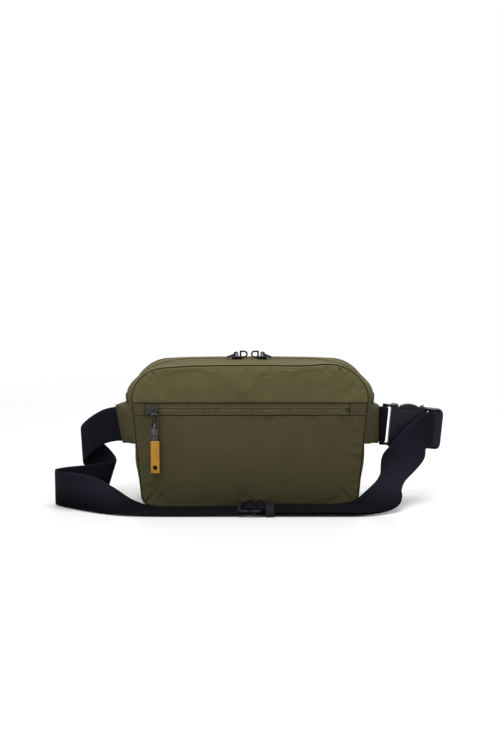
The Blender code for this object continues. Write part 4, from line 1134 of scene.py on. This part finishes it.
# ---------------------------------------------------------------- belt webbing
LEFT_RUN = [
    ((-0.1345, BELT_Y, BELT_Z), (0, 0, 1)),
    ((-0.1400, BELT_Y, BELT_Z), (0, 0, 1)),
    ((-0.1475, BELT_Y, 0.0806), (0, 0, 1)),
    ((-0.1600, 0.0130, 0.0772), (-0.02, 0, 1)),
    ((-0.1740, 0.0110, 0.0680), (-0.08, 0, 1)),
    ((-0.1828, 0.0170, 0.0568), (-0.05, 0, 1)),
    ((-0.1750, 0.0250, 0.0470), (0.15, 0, 1)),
    ((-0.1620, 0.0270, 0.0340), (0.35, 0, 0.94)),
    ((-0.1518, 0.0180, 0.0215), (0.30, 0, 0.95)),
    ((-0.1635, 0.0080, 0.0200), (0.10, 0, 1)),
    ((-0.1780, -0.0020, 0.0196), (0, 0, 1)),
    ((-0.1960, -0.0100, 0.0195), (0, 0, 1)),
    ((-0.2075, -0.0215, 0.0195), (0, 0, 1)),
    ((-0.2000, -0.0340, 0.0195), (0, 0, 1)),
    ((-0.1850, -0.0420, 0.0193), (0, 0.17, 0.98)),
    ((-0.1650, -0.0485, 0.0173), (0, 0.50, 0.87)),
    ((-0.1450, -0.0525, 0.0118), (0, 0.82, 0.57)),
    ((-0.1250, -0.0550, 0.0053), (0, 0.98, 0.20)),
    ((-0.1050, -0.0562, 0.0018), (0, 1, 0.02)),
    ((-0.0800, FRONT_RUN_Y, FLOOR_RUN_Z), (0, 1, 0)),
    ((-0.0600, FRONT_RUN_Y, FLOOR_RUN_Z), (0, 1, 0)),
]
RISING_RUN = [
    ((0.0601, FRONT_RUN_Y, RAISED_RUN_Z + LAYER_OFFSET), (0, 1, 0)),
    ((0.0900, FRONT_RUN_Y, RAISED_RUN_Z + LAYER_OFFSET), (0, 1, 0)),
    ((0.1120, -0.0560, 0.0046), (-0.20, 0.97, 0.10)),
    ((0.1250, -0.0535, 0.0072), (-0.45, 0.86, 0.22)),
    ((0.1356, -0.0490, 0.0112), (-0.66, 0.66, 0.34)),
    ((0.1450, -0.0420, 0.0172), (-0.62, 0.62, 0.47)),
    ((0.1496, -0.0340, 0.0235), (-0.57, 0.66, 0.48)),
    ((0.1503, -0.0260, 0.0304), (-0.53, 0.69, 0.48)),
    ((0.1539, -0.0190, 0.0392), (-0.62, 0.55, 0.55)),
    ((0.1648, -0.0130, 0.0502), (-0.78, 0.20, 0.59)),
    ((0.1764, -0.0050, 0.0618), (-0.57, 0.02, 0.82)),
    ((0.1861, 0.0026, 0.0729), (-0.165, 0, 0.986)),
]
DROOP_PIVOT = Vector((0.1400, BELT_Y, BELT_Z))


def hung(point):
    """A point of the straight buckle, turned down about the end of the wing."""
    away = Vector(point) - DROOP_PIVOT
    cos, sin = math.cos(BUCKLE_DROOP), math.sin(BUCKLE_DROOP)
    return DROOP_PIVOT + Vector((away.x * cos + away.z * sin, away.y, away.z * cos - away.x * sin))


def hung_path(stations):
    return [(hung(centre), hung(DROOP_PIVOT + Vector(width)) - DROOP_PIVOT)
            for centre, width in stations]


def flat_run(profile):
    return [((x, FRONT_RUN_Y, z), (0, 1, 0)) for x, z in profile]


ADJUSTER_LEFT = flat_run([(-0.0600, FLOOR_RUN_Z), (-0.050, FLOOR_RUN_Z), (-0.038, 0.0017),
                          (-0.026, RAISED_RUN_Z), (-0.014, RAISED_RUN_Z), (-0.0090, 0.0029),
                          (-0.0060, 0.0057), (-0.0030, 0.0080), (0.0, 0.00835)])
ADJUSTER_RIGHT = flat_run([(0.0, 0.00835), (0.0030, 0.0080), (0.0056, 0.0050), (0.0078, 0.0026),
                           (0.012, RAISED_RUN_Z), (0.016, RAISED_RUN_Z), (0.040, RAISED_RUN_Z),
                           (0.0601, RAISED_RUN_Z)])
UPPER_RUN_Z = RAISED_RUN_Z + 2 * LAYER_OFFSET
RETURN_END = flat_run([(0.0601, UPPER_RUN_Z), (0.0400, UPPER_RUN_Z), (0.0180, UPPER_RUN_Z),
                       (0.0130, 0.00422), (0.0103, 0.00418), (0.0086, 0.0048), (0.0079, 0.0062),
                       (0.0086, 0.0077), (0.0104, 0.0083), (0.0125, 0.0082), (0.0138, 0.0073),
                       (0.0150, 0.0064)])
BUCKLE_LOOP = hung_path([((x, y, z), (lean, 0, 1)) for x, y, z, lean in (
    (0.1868, 0.0013, 0.0769, -0.24), (0.1905, 0.0036, 0.0793, -0.12),
    (0.1945, 0.0056, 0.0806, -0.03), (0.1974, 0.0082, BELT_Z, 0), (0.1981, 0.0115, BELT_Z, 0),
    (0.1981, 0.0150, BELT_Z, 0), (0.1980, 0.0166, BELT_Z, 0), (0.1971, 0.0176, BELT_Z, 0),
    (0.1955, 0.0178, BELT_Z, 0), (0.1939, 0.0176, BELT_Z, 0), (0.1930, 0.0166, BELT_Z, 0),
    (0.1929, 0.0150, BELT_Z, 0), (0.1929, 0.0115, BELT_Z, 0), (0.1918, 0.0087, 0.0809, 0),
    (0.1898, 0.0067, 0.0799, -0.10), (0.1868, 0.0040, 0.0772, -0.24))])


def bar_loop_run():
    start, near = WING_RIGHT_END - 0.0078, WEBBING / 2 + 0.0010
    wide = 0.0025 + GAP + WEBBING / 2 + 0.0001
    turn = BUCKLE_BAR[1] + GAP + WEBBING / 2 + 0.0001
    half = [(start, near), (WING_RIGHT_END - 0.0005, near), (BUCKLE_BAR[0] - 0.0007, wide - 0.0004),
            (BUCKLE_BAR[0] + 0.0004, wide), (BUCKLE_BAR[1] - 0.0020, wide),
            (turn - 0.0012, wide - 0.0002), (turn - 0.0002, wide - 0.0011), (turn, 0.0012)]
    profile = [(x, -y) for x, y in half] + half[::-1]
    straight = [((x, BELT_Y + y, BELT_Z), (0, 0, 1)) for x, y in profile]
    turned = hung_path(straight)
    return [turned[i] if profile[i][0] > WING_RIGHT_END else straight[i]
            for i in range(len(profile))]


def webbing(name, stations, per_span, offset, start_length):
    """Flat belt webbing along stations of (centre, width direction), with rounded selvedges."""
    centres = smooth_points([s[0] for s in stations], per_span)
    widths = smooth_points([s[1] for s in stations], per_span)
    across = clustered(-1, 1, 31, power=1.6)
    body = np.sqrt(np.clip(1 - np.abs(across) ** 14, 0, 1))
    selvedge = 1 + 0.12 * hump(np.abs(across), 0.93, 0.035)
    profile = WEBBING / 2 * np.maximum(body, 0.12) * selvedge
    rings, uv, length = [], [], start_length
    for i, centre in enumerate(centres):
        tangent = centres[min(i + 1, len(centres) - 1)] - centres[max(i - 1, 0)]
        width = widths[i].normalized()
        normal = np.array(tangent.cross(width).normalized())
        length += (centre - centres[i - 1]).length if i else 0.0
        line = np.array(centre) + normal * offset
        line = line + np.array(width) * WEBBING_HALF * across[:, None]
        rise = normal * profile[:, None]
        rings.append(np.vstack([line - rise, (line + rise)[::-1]]))
        places = [(length, v * WEBBING_HALF) for v in across]
        uv.append(places + places[::-1])
    count, around = len(rings), len(rings[0])
    faces = quads(count, around, wrap_cols=True).tolist()
    faces.append(list(range(around))[::-1])
    faces.append([(count - 1) * around + k for k in range(around)])
    return make_piece(name, np.array(rings), faces, WEBBING_CLOTH, uv=uv), length


def lay(name, stations, per_span, node, body=None, between=None, start=0.0, offset=0.0):
    """One run of webbing on a body, or baked in place and left unattached when between is given
    (the two bodies it names are not used); returns the length reached.
    """
    run, end = webbing(name, stations, per_span, offset, start)
    if between:
        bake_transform(run)
    finish_piece(run, body, "navy_webbing", node)
    return end


def make_belt():
    def floor_blend(first, second, near, far, z):
        return first, second, (near, FRONT_RUN_Y, z), (far, FRONT_RUN_Y, z)
    end = lay("webbing_left", LEFT_RUN, 12, "belt_left_run", "pack")
    end = lay("webbing_adjuster_left", ADJUSTER_LEFT, 8, "belt_adjuster_run", start=end,
              between=floor_blend("pack", "tri_glide", -0.058, -0.016, 0.002))
    lay("webbing_adjuster_right", ADJUSTER_RIGHT, 8, "belt_adjuster_run", start=end,
        between=floor_blend("tri_glide", "pack", 0.016, 0.058, 0.002))
    lay("webbing_return_end", RETURN_END, 8, "belt_return_end",
        between=floor_blend("tri_glide", "pack", 0.016, 0.058, 0.004))
    for name, offset, node in (("webbing_rising_inner", -LAYER_OFFSET, "belt_right_run"),
                               ("webbing_rising_outer", LAYER_OFFSET, "belt_return_run")):
        lay(name, RISING_RUN, 12, node, offset=offset,
            between=("pack", "buckle_male", (0.108, 0, 0), (0.1862, 0, 0)))
    lay("webbing_buckle_loop", BUCKLE_LOOP, 8, "belt_buckle_loop", "buckle_male")
    lay("webbing_bar_loop", bar_loop_run(), 8, "buckle_bar_loop", "pack")


# ---------------------------------------------------------------- pulls
def make_front_pull():
    """The wire loop, the doubled cord with its knot, and the thread on the leather tab."""
    def plane(x, z):
        return Vector((x, PULL_AXIS_Y, z))
    half, corner, wire = LOOP_HALF_WIDTH + 0.0003, 0.0012, 0.0010
    left, right = PULL_X - half, PULL_X + half
    points = arc((left + corner, PULL_AXIS_Z - corner), corner, 180, 90, 5, plane)
    points += arc((right - corner, PULL_AXIS_Z - corner), corner, 90, 0, 5, plane)
    points += [plane(right, PULL_AXIS_Z - 0.004), plane(right, PULL_AXIS_Z - 0.008)]
    points += arc((PULL_X, LOOP_BOTTOM_Z), half, 0, -180, 18, plane)
    points += [plane(left, PULL_AXIS_Z - 0.008), plane(left, PULL_AXIS_Z - 0.004)]
    loop = tube("pull_wire_loop", points, wire, METAL, 14, closed=True)
    finish_piece(loop, "front_pull_wire", "gunmetal", "front_pull_loop")

    radius, strand = 0.0010, 0.0013
    reach = radius + wire + 0.0004
    wire_z = LOOP_BOTTOM_Z - half
    rising = [(1.0, 0.0, TAB_TOP - 0.0120), (1.0, 0.0, TAB_TOP), (1.0, 0.0003, 0.0780),
              (0.8, 0.0012, 0.0835), (0.4, reach, wire_z - 0.0002)]
    route = [(PULL_X - strand * share, PULL_AXIS_Y - out, z) for share, out, z in rising]
    route.append((PULL_X, PULL_AXIS_Y - reach * 0.05, wire_z + reach))
    route += [(PULL_X + strand * share, PULL_AXIS_Y + out, z) for share, out, z in rising[::-1]]
    cord = tube("pull_cord_braid", smooth_points(route, 14), radius, CORD, 14)
    finish_piece(cord, "front_pull_tab", "grey_cord", "pull_cord")

    wraps = [Vector((PULL_X + 0.0027 * math.cos(a), PULL_AXIS_Y + 0.0019 * math.sin(a),
                     0.0860 - 0.0021 * a / TURN))
             for a in np.linspace(0, 3 * TURN, 61)]
    finish_piece(tube("pull_cord_knot", wraps, 0.0009, CORD, 12), "front_pull_tab", "grey_cord")

    line = np.linspace(PULL_X - 0.0030, PULL_X + 0.0030, 10)
    face = PULL_AXIS_Y - 0.0018
    for name, z in (("thread_tab_low", TAB_BOTTOM + 0.0022), ("thread_tab_high", TAB_TOP - 0.0022)):
        row = np.stack([line, np.full_like(line, face), np.full_like(line, z)], -1)
        finish_piece(stitches(name, row, np.tile((0.0, -1.0, 0.0), (10, 1)), MUSTARD_THREAD,
                              0.0012, 0.0009, 0.00012), "front_pull_tab", "mustard_leather")


def soften(item, width, angle, segments):
    """Rounded edges where two faces meet at more than the angle."""
    modifier = item.modifiers.new("soft_edges", "BEVEL")
    modifier.width = width
    modifier.segments = segments
    modifier.limit_method = "ANGLE"
    modifier.angle_limit = math.radians(angle)


def polish(node, width, material, angle, segments):
    """A CAD part kept as it is, with softened edges and its real finish."""
    item = NODES[node]
    weld = item.modifiers.new("weld", "WELD")
    weld.merge_threshold = 0.00001
    soften(item, width, angle, segments)
    item.data.materials.clear()
    item.data.materials.append(material)
    for polygon in item.data.polygons:
        polygon.material_index = 0


def moulding(name, solids, material, bevel, turned=False):
    """One moulded part from closed blocks; each is an outline in X and Z between two depths."""
    bm = bmesh.new()
    for outline, y_low, y_high in solids:
        rows = []
        for y in (y_low, y_high):
            points = [Vector((x, y, z)) for x, z in outline]
            rows.append([bm.verts.new(hung(p) if turned else p) for p in points])
        count = len(outline)
        for i in range(count):
            j = (i + 1) % count
            bm.faces.new((rows[0][i], rows[0][j], rows[1][j], rows[1][i]))
        bm.faces.new(rows[0][::-1])
        bm.faces.new(rows[1])
    bmesh.ops.recalc_face_normals(bm, faces=bm.faces)
    mesh = bpy.data.meshes.new(name)
    bm.to_mesh(mesh)
    bm.free()
    mesh.shade_smooth()
    mesh.set_sharp_from_angle(angle=math.radians(38))
    mesh.materials.append(material)
    item = bpy.data.objects.new(name, mesh)
    bpy.context.scene.collection.objects.link(item)
    soften(item, bevel, 25, 3)
    return item


def block(x_low, x_high, z_low, z_high, y_low, y_high):
    return ([(x_low, z_low), (x_high, z_low), (x_high, z_high), (x_low, z_high)], y_low, y_high)


def both_ways(half_profile):
    """A closed outline about the belt line from (x, half height) pairs along its upper edge."""
    return [(x, BELT_Z + z) for x, z in half_profile] \
        + [(x, BELT_Z - z) for x, z in half_profile[::-1]]


def belt_block(x_low, x_high, z_near, z_far, half_depth):
    """A block about the belt line, its heights measured from that line."""
    z_low, z_high = sorted((BELT_Z + z_near, BELT_Z + z_far))
    return block(x_low, x_high, z_low, z_high, BELT_Y - half_depth, BELT_Y + half_depth)


def make_buckle():
    """Socket shell, plug frame and two latch thumbs, drawn straight and turned with the buckle."""
    plate = both_ways([(0.1515, 0.0218), (0.1522, 0.0230), (0.1540, 0.0236), (0.1562, 0.0233),
                       (0.1580, 0.0222), (0.1593, 0.0204), (0.1606, 0.0190), (0.1630, 0.0182),
                       (0.1776, 0.0182), (0.1800, 0.0188), (0.1818, 0.0204), (0.1832, 0.0226),
                       (0.1846, 0.0235), (0.1870, 0.0235)])
    inside, outside = 0.0037, 0.0060
    solids = [(plate, BELT_Y - outside, BELT_Y - inside),
              (plate, BELT_Y + inside, BELT_Y + outside)]
    for sign in (-1, 1):
        solids += [belt_block(0.1517, 0.1588, sign * 0.0197, sign * 0.0233, 0.0058),
                   belt_block(0.1840, 0.1869, sign * 0.0197, sign * 0.0233, 0.0058),
                   belt_block(BUCKLE_BAR[0], 0.1550, sign * 0.0199, sign * 0.0225, 0.0025)]
    solids += [belt_block(0.1517, 0.1553, -0.0230, 0.0230, 0.0056),
               belt_block(*BUCKLE_BAR, -0.0225, 0.0225, 0.0025)]
    rim = both_ways([(0.1846, 0.0238), (0.1871, 0.0238)])
    step = both_ways([(0.1800, 0.0150), (0.1806, 0.0156), (0.1822, 0.0156), (0.1828, 0.0150)])
    for side in (-1, 1):
        for outline, proud in ((rim, 0.0004), (step, 0.0003)):
            depth = sorted((BELT_Y + side * 0.0055, BELT_Y + side * (outside + proud)))
            solids.append((outline, *depth))
    female = moulding("buckle_socket_shell", solids, PLASTIC, 0.0006, turned=True)
    finish_piece(female, "pack", "black_plastic", "buckle_female")

    half_plug = 0.0045
    solids = [belt_block(0.1873, 0.1903, -0.0220, 0.0220, half_plug),
              belt_block(0.1940, 0.1970, -0.0205, 0.0205, 0.0025),
              belt_block(0.1580, 0.1880, -0.0044, 0.0044, 0.0021)]
    solids += [belt_block(0.1873, 0.2040, sign * 0.0191, sign * 0.0220, half_plug)
               for sign in (-1, 1)]
    bar = both_ways([(0.1993, 0.0216), (0.2036, 0.0219), (0.2056, 0.0212), (0.2069, 0.0198),
                     (0.2077, 0.0178), (0.2080, 0.0150)])
    solids.append((bar, BELT_Y - half_plug, BELT_Y + half_plug))
    solids += [belt_block(x, x + 0.0010, -0.0170, 0.0170, 0.0049)
               for x in (0.2008, 0.2030, 0.2052)]
    male = moulding("buckle_plug_frame", solids, PLASTIC, 0.0007, turned=True)
    finish_piece(male, "buckle_male", "black_plastic", "buckle_male")

    crest = [(0.1780, 0.0234), (0.1745, 0.0243), (0.1710, 0.0246), (0.1670, 0.0243),
             (0.1634, 0.0232)]
    profile = [(0.1866, 0.0085), (0.1866, 0.0121), (0.1838, 0.0146), (0.1830, 0.0152),
               (0.1828, 0.0162), (0.1828, 0.0207), (0.1810, 0.0221), *crest,
               (0.1610, 0.0218), (0.1600, 0.0198), (0.1602, 0.0150), (0.1660, 0.0132),
               (0.1760, 0.0110)]
    crest_x, crest_top = zip(*crest[::-1])
    for node, sign in (("latch_arm_upper", 1), ("latch_arm_lower", -1)):
        solids = [([(x, BELT_Z + sign * z) for x, z in profile], BELT_Y - 0.0030, BELT_Y + 0.0030)]
        for x in (0.1676, 0.1696, 0.1716, 0.1736, 0.1756):
            top = float(np.interp(x, crest_x, crest_top))
            solids.append(belt_block(x, x + 0.0008, sign * (top - 0.0020), sign * (top + 0.0003),
                                     0.0031))
        arm = moulding(node.replace("latch_arm", "latch_thumb"), solids, PLASTIC, 0.0003,
                       turned=True)
        finish_piece(arm, node, "black_plastic", node)


def make_adjusters():
    """The three-bar adjuster and the ribbed keeper, both about the flat run."""
    y, rail = FRONT_RUN_Y, 0.0217
    low, high = 0.0052, 0.0072
    solids = [block(x_low, x_high, low, high, y - rail, y + rail)
              for x_low, x_high in ((-0.0130, -0.0098), (-0.0020, 0.0020), (0.0096, 0.0130))]
    for side in (-1, 1):
        depth = sorted((y + side * 0.0196, y + side * rail))
        solids.append(block(-0.0128, 0.0128, low, high, *depth))
    glide = moulding("tri_glide_frame", solids, PLASTIC, 0.0006)
    finish_piece(glide, "tri_glide", "black_plastic", "tri_glide")

    start, end, half, wall = 0.0162, 0.0252, 0.0195, 0.0012
    reach = half + wall
    solids = [block(start, end, 0.0003, 0.0013, y - reach, y + reach),
              block(start, end, 0.0055, 0.0067, y - reach, y + reach)]
    for side in (-1, 1):
        depth = sorted((y + side * half, y + side * reach))
        solids.append(block(start, end, 0.0004, 0.0066, *depth))
    for x in (0.0168, 0.0188, 0.0208, 0.0228):
        solids += [block(x, x + 0.0010, 0.0008, 0.0070, y - reach - 0.0003, y - half - 0.0002),
                   block(x, x + 0.0010, 0.0060, 0.0070, y - reach, y + reach)]
    keeper = moulding("keeper_loop", solids, PLASTIC_LIGHT, 0.0003)
    finish_piece(keeper, "strap_keeper", "black_plastic", "strap_keeper")


def make_slider_crown():
    """The raised, waisted crown and two ridges on top of the front slider's housing."""
    x, z = FRONT_SLIDER_X, FRONT_ZIP_Z
    face = FRONT_Y + TAPE_RECESS - GAP - SLIDER_HEIGHT
    half = [(-0.0052, 0.0016), (-0.0040, 0.0030), (-0.0012, 0.0026), (0.0012, 0.0026),
            (0.0036, 0.0036), (0.0052, 0.0024)]
    crown = [(x + u, z + v) for u, v in half] + [(x + u, z - v) for u, v in half[::-1]]
    solids = [(crown, face - 0.0006, face + 0.0004)]
    for side in (-1, 1):
        low, high = sorted((z + side * 0.0038, z + side * 0.0047))
        solids.append(block(x - 0.0048, x + 0.0048, low, high, face + 0.0008, face + 0.0020))
    item = moulding("front_slider_crown", solids, METAL, 0.0002)
    finish_piece(item, "front_slider", "gunmetal")


def make_hardware():
    make_buckle()
    make_adjusters()
    make_slider_crown()
    for node, material in (("front_slider", METAL), ("top_slider_left", TOP_METAL),
                           ("top_pull_left", TOP_METAL), ("top_slider_right", TOP_METAL),
                           ("top_pull_right", TOP_METAL), ("front_zip_stop", STOP_METAL),
                           ("tab_eyelet", DARK_METAL)):
        polish(node, 0.0001, material, 50, 2)
    polish("leather_tab", 0.0003, MUSTARD, 40, 3)
    for node, material in (("main_lining", LINING), ("front_pocket_lining", LINING),
                           ("back_foam", FOAM), ("seam_binding_front", OLIVE_TAPE),
                           ("seam_binding_back", OLIVE_TAPE)):
        NODES[node].data.materials.clear()
        NODES[node].data.materials.append(material)


# ---------------------------------------------------------------- camera, light, floor
def make_stage():
    """White surroundings, a pale floor that fades into them, five soft lights and the camera."""
    scene = bpy.context.scene
    scene.view_settings.view_transform = "Standard"
    scene.view_settings.look = "None"
    world = bpy.data.worlds.new("studio")
    scene.world = world
    world.use_nodes = True
    tree = world.node_tree
    background = tree.nodes["Background"]
    background.inputs["Color"].default_value = (1.0, 1.0, 1.0, 1.0)
    seen = tree.nodes.new("ShaderNodeLightPath")
    level = tree.nodes.new("ShaderNodeMapRange")
    level.inputs["To Min"].default_value = 0.38
    level.inputs["To Max"].default_value = 1.0
    tree.links.new(seen.outputs["Is Camera Ray"], level.inputs["Value"])
    tree.links.new(level.outputs["Result"], background.inputs["Strength"])

    bpy.ops.mesh.primitive_plane_add(size=12.0, location=(0, 0, -0.0004))
    floor = bpy.context.object
    floor.name = "floor"
    n = Nodes("studio_floor")
    n.shader.inputs["Roughness"].default_value = 0.35
    n.shader.inputs["Specular IOR Level"].default_value = 0.25
    seen = n.add("ShaderNodeLightPath").outputs["Is Camera Ray"]
    n.feed("Base Color", n.ramp(seen, (0.45, 0.45, 0.45, 1.0), (0.84, 0.84, 0.84, 1.0)))
    radius = n.add("ShaderNodeVectorMath", operation="LENGTH")
    n.link(n.place(), radius.inputs[0])
    far = n.spread(radius.outputs["Value"], start=(0.35, 0.90))
    glow = n.add("ShaderNodeEmission", Strength=1.0)
    blend = n.add("ShaderNodeMixShader")
    n.link(n.math("MULTIPLY", far, seen), blend.inputs["Fac"])
    n.link(n.shader.outputs["BSDF"], blend.inputs[1])
    n.link(glow.outputs["Emission"], blend.inputs[2])
    n.link(blend.outputs["Shader"], n.tree.nodes["Material Output"].inputs["Surface"])
    floor.data.materials.append(n.material)

    def area(name, place, target, size, power):
        data = bpy.data.lights.new(name, "AREA")
        data.shape = "RECTANGLE"
        data.size, data.size_y = size
        data.energy = power
        lamp = bpy.data.objects.new(name, data)
        lamp.location = place
        lamp.rotation_mode = "QUATERNION"
        lamp.rotation_quaternion = (Vector(target) - Vector(place)).to_track_quat("-Z", "Y")
        scene.collection.objects.link(lamp)
    pack = (0, 0, 0.06)
    area("key", (-0.45, -0.75, 1.75), pack, (1.3, 0.9), 19)
    area("fill", (-1.3, -1.2, 0.3), (-0.1, 0, 0.06), (0.8, 0.6), 3)
    area("top", (0.15, 0.25, 1.85), pack, (1.6, 1.0), 22)
    area("side", (1.5, -0.5, 0.9), pack, (0.7, 0.9), 4)
    area("rear", (0.3, 1.6, 0.8), pack, (1.0, 0.7), 5)

    data = bpy.data.cameras.new("camera")
    data.sensor_width = 36
    data.lens = 73.2
    camera = bpy.data.objects.new("camera", data)
    elevation, distance = math.radians(9.0), 1.6
    aim = Vector((0.0, -0.033, 0.142))
    back = Vector((0, -math.cos(elevation), math.sin(elevation)))
    camera.location = aim + back * distance
    camera.rotation_mode = "QUATERNION"
    camera.rotation_quaternion = (-back).to_track_quat("-Z", "Y")
    scene.collection.objects.link(camera)
    scene.camera = camera


make_stage()
make_front_panels()
make_zip_patches()
make_front_seam_shading()
make_front_stitching()
make_front_zip()
make_gussets()
make_top_zip()
make_back()
make_wing("wing_left_sleeve", -1, WING_LEFT_END, WING_LEFT_SLANT, 0.0009, "wing_left")
make_wing("wing_right_sleeve", 1, WING_RIGHT_END, 0.0, 0.0027, "wing_right")
make_zip_end_tab("zip_end_patch_left", -1, "zip_end_tab_left")
make_zip_end_tab("zip_end_patch_right", 1, "zip_end_tab_right")
make_belt()
make_front_pull()
make_hardware()
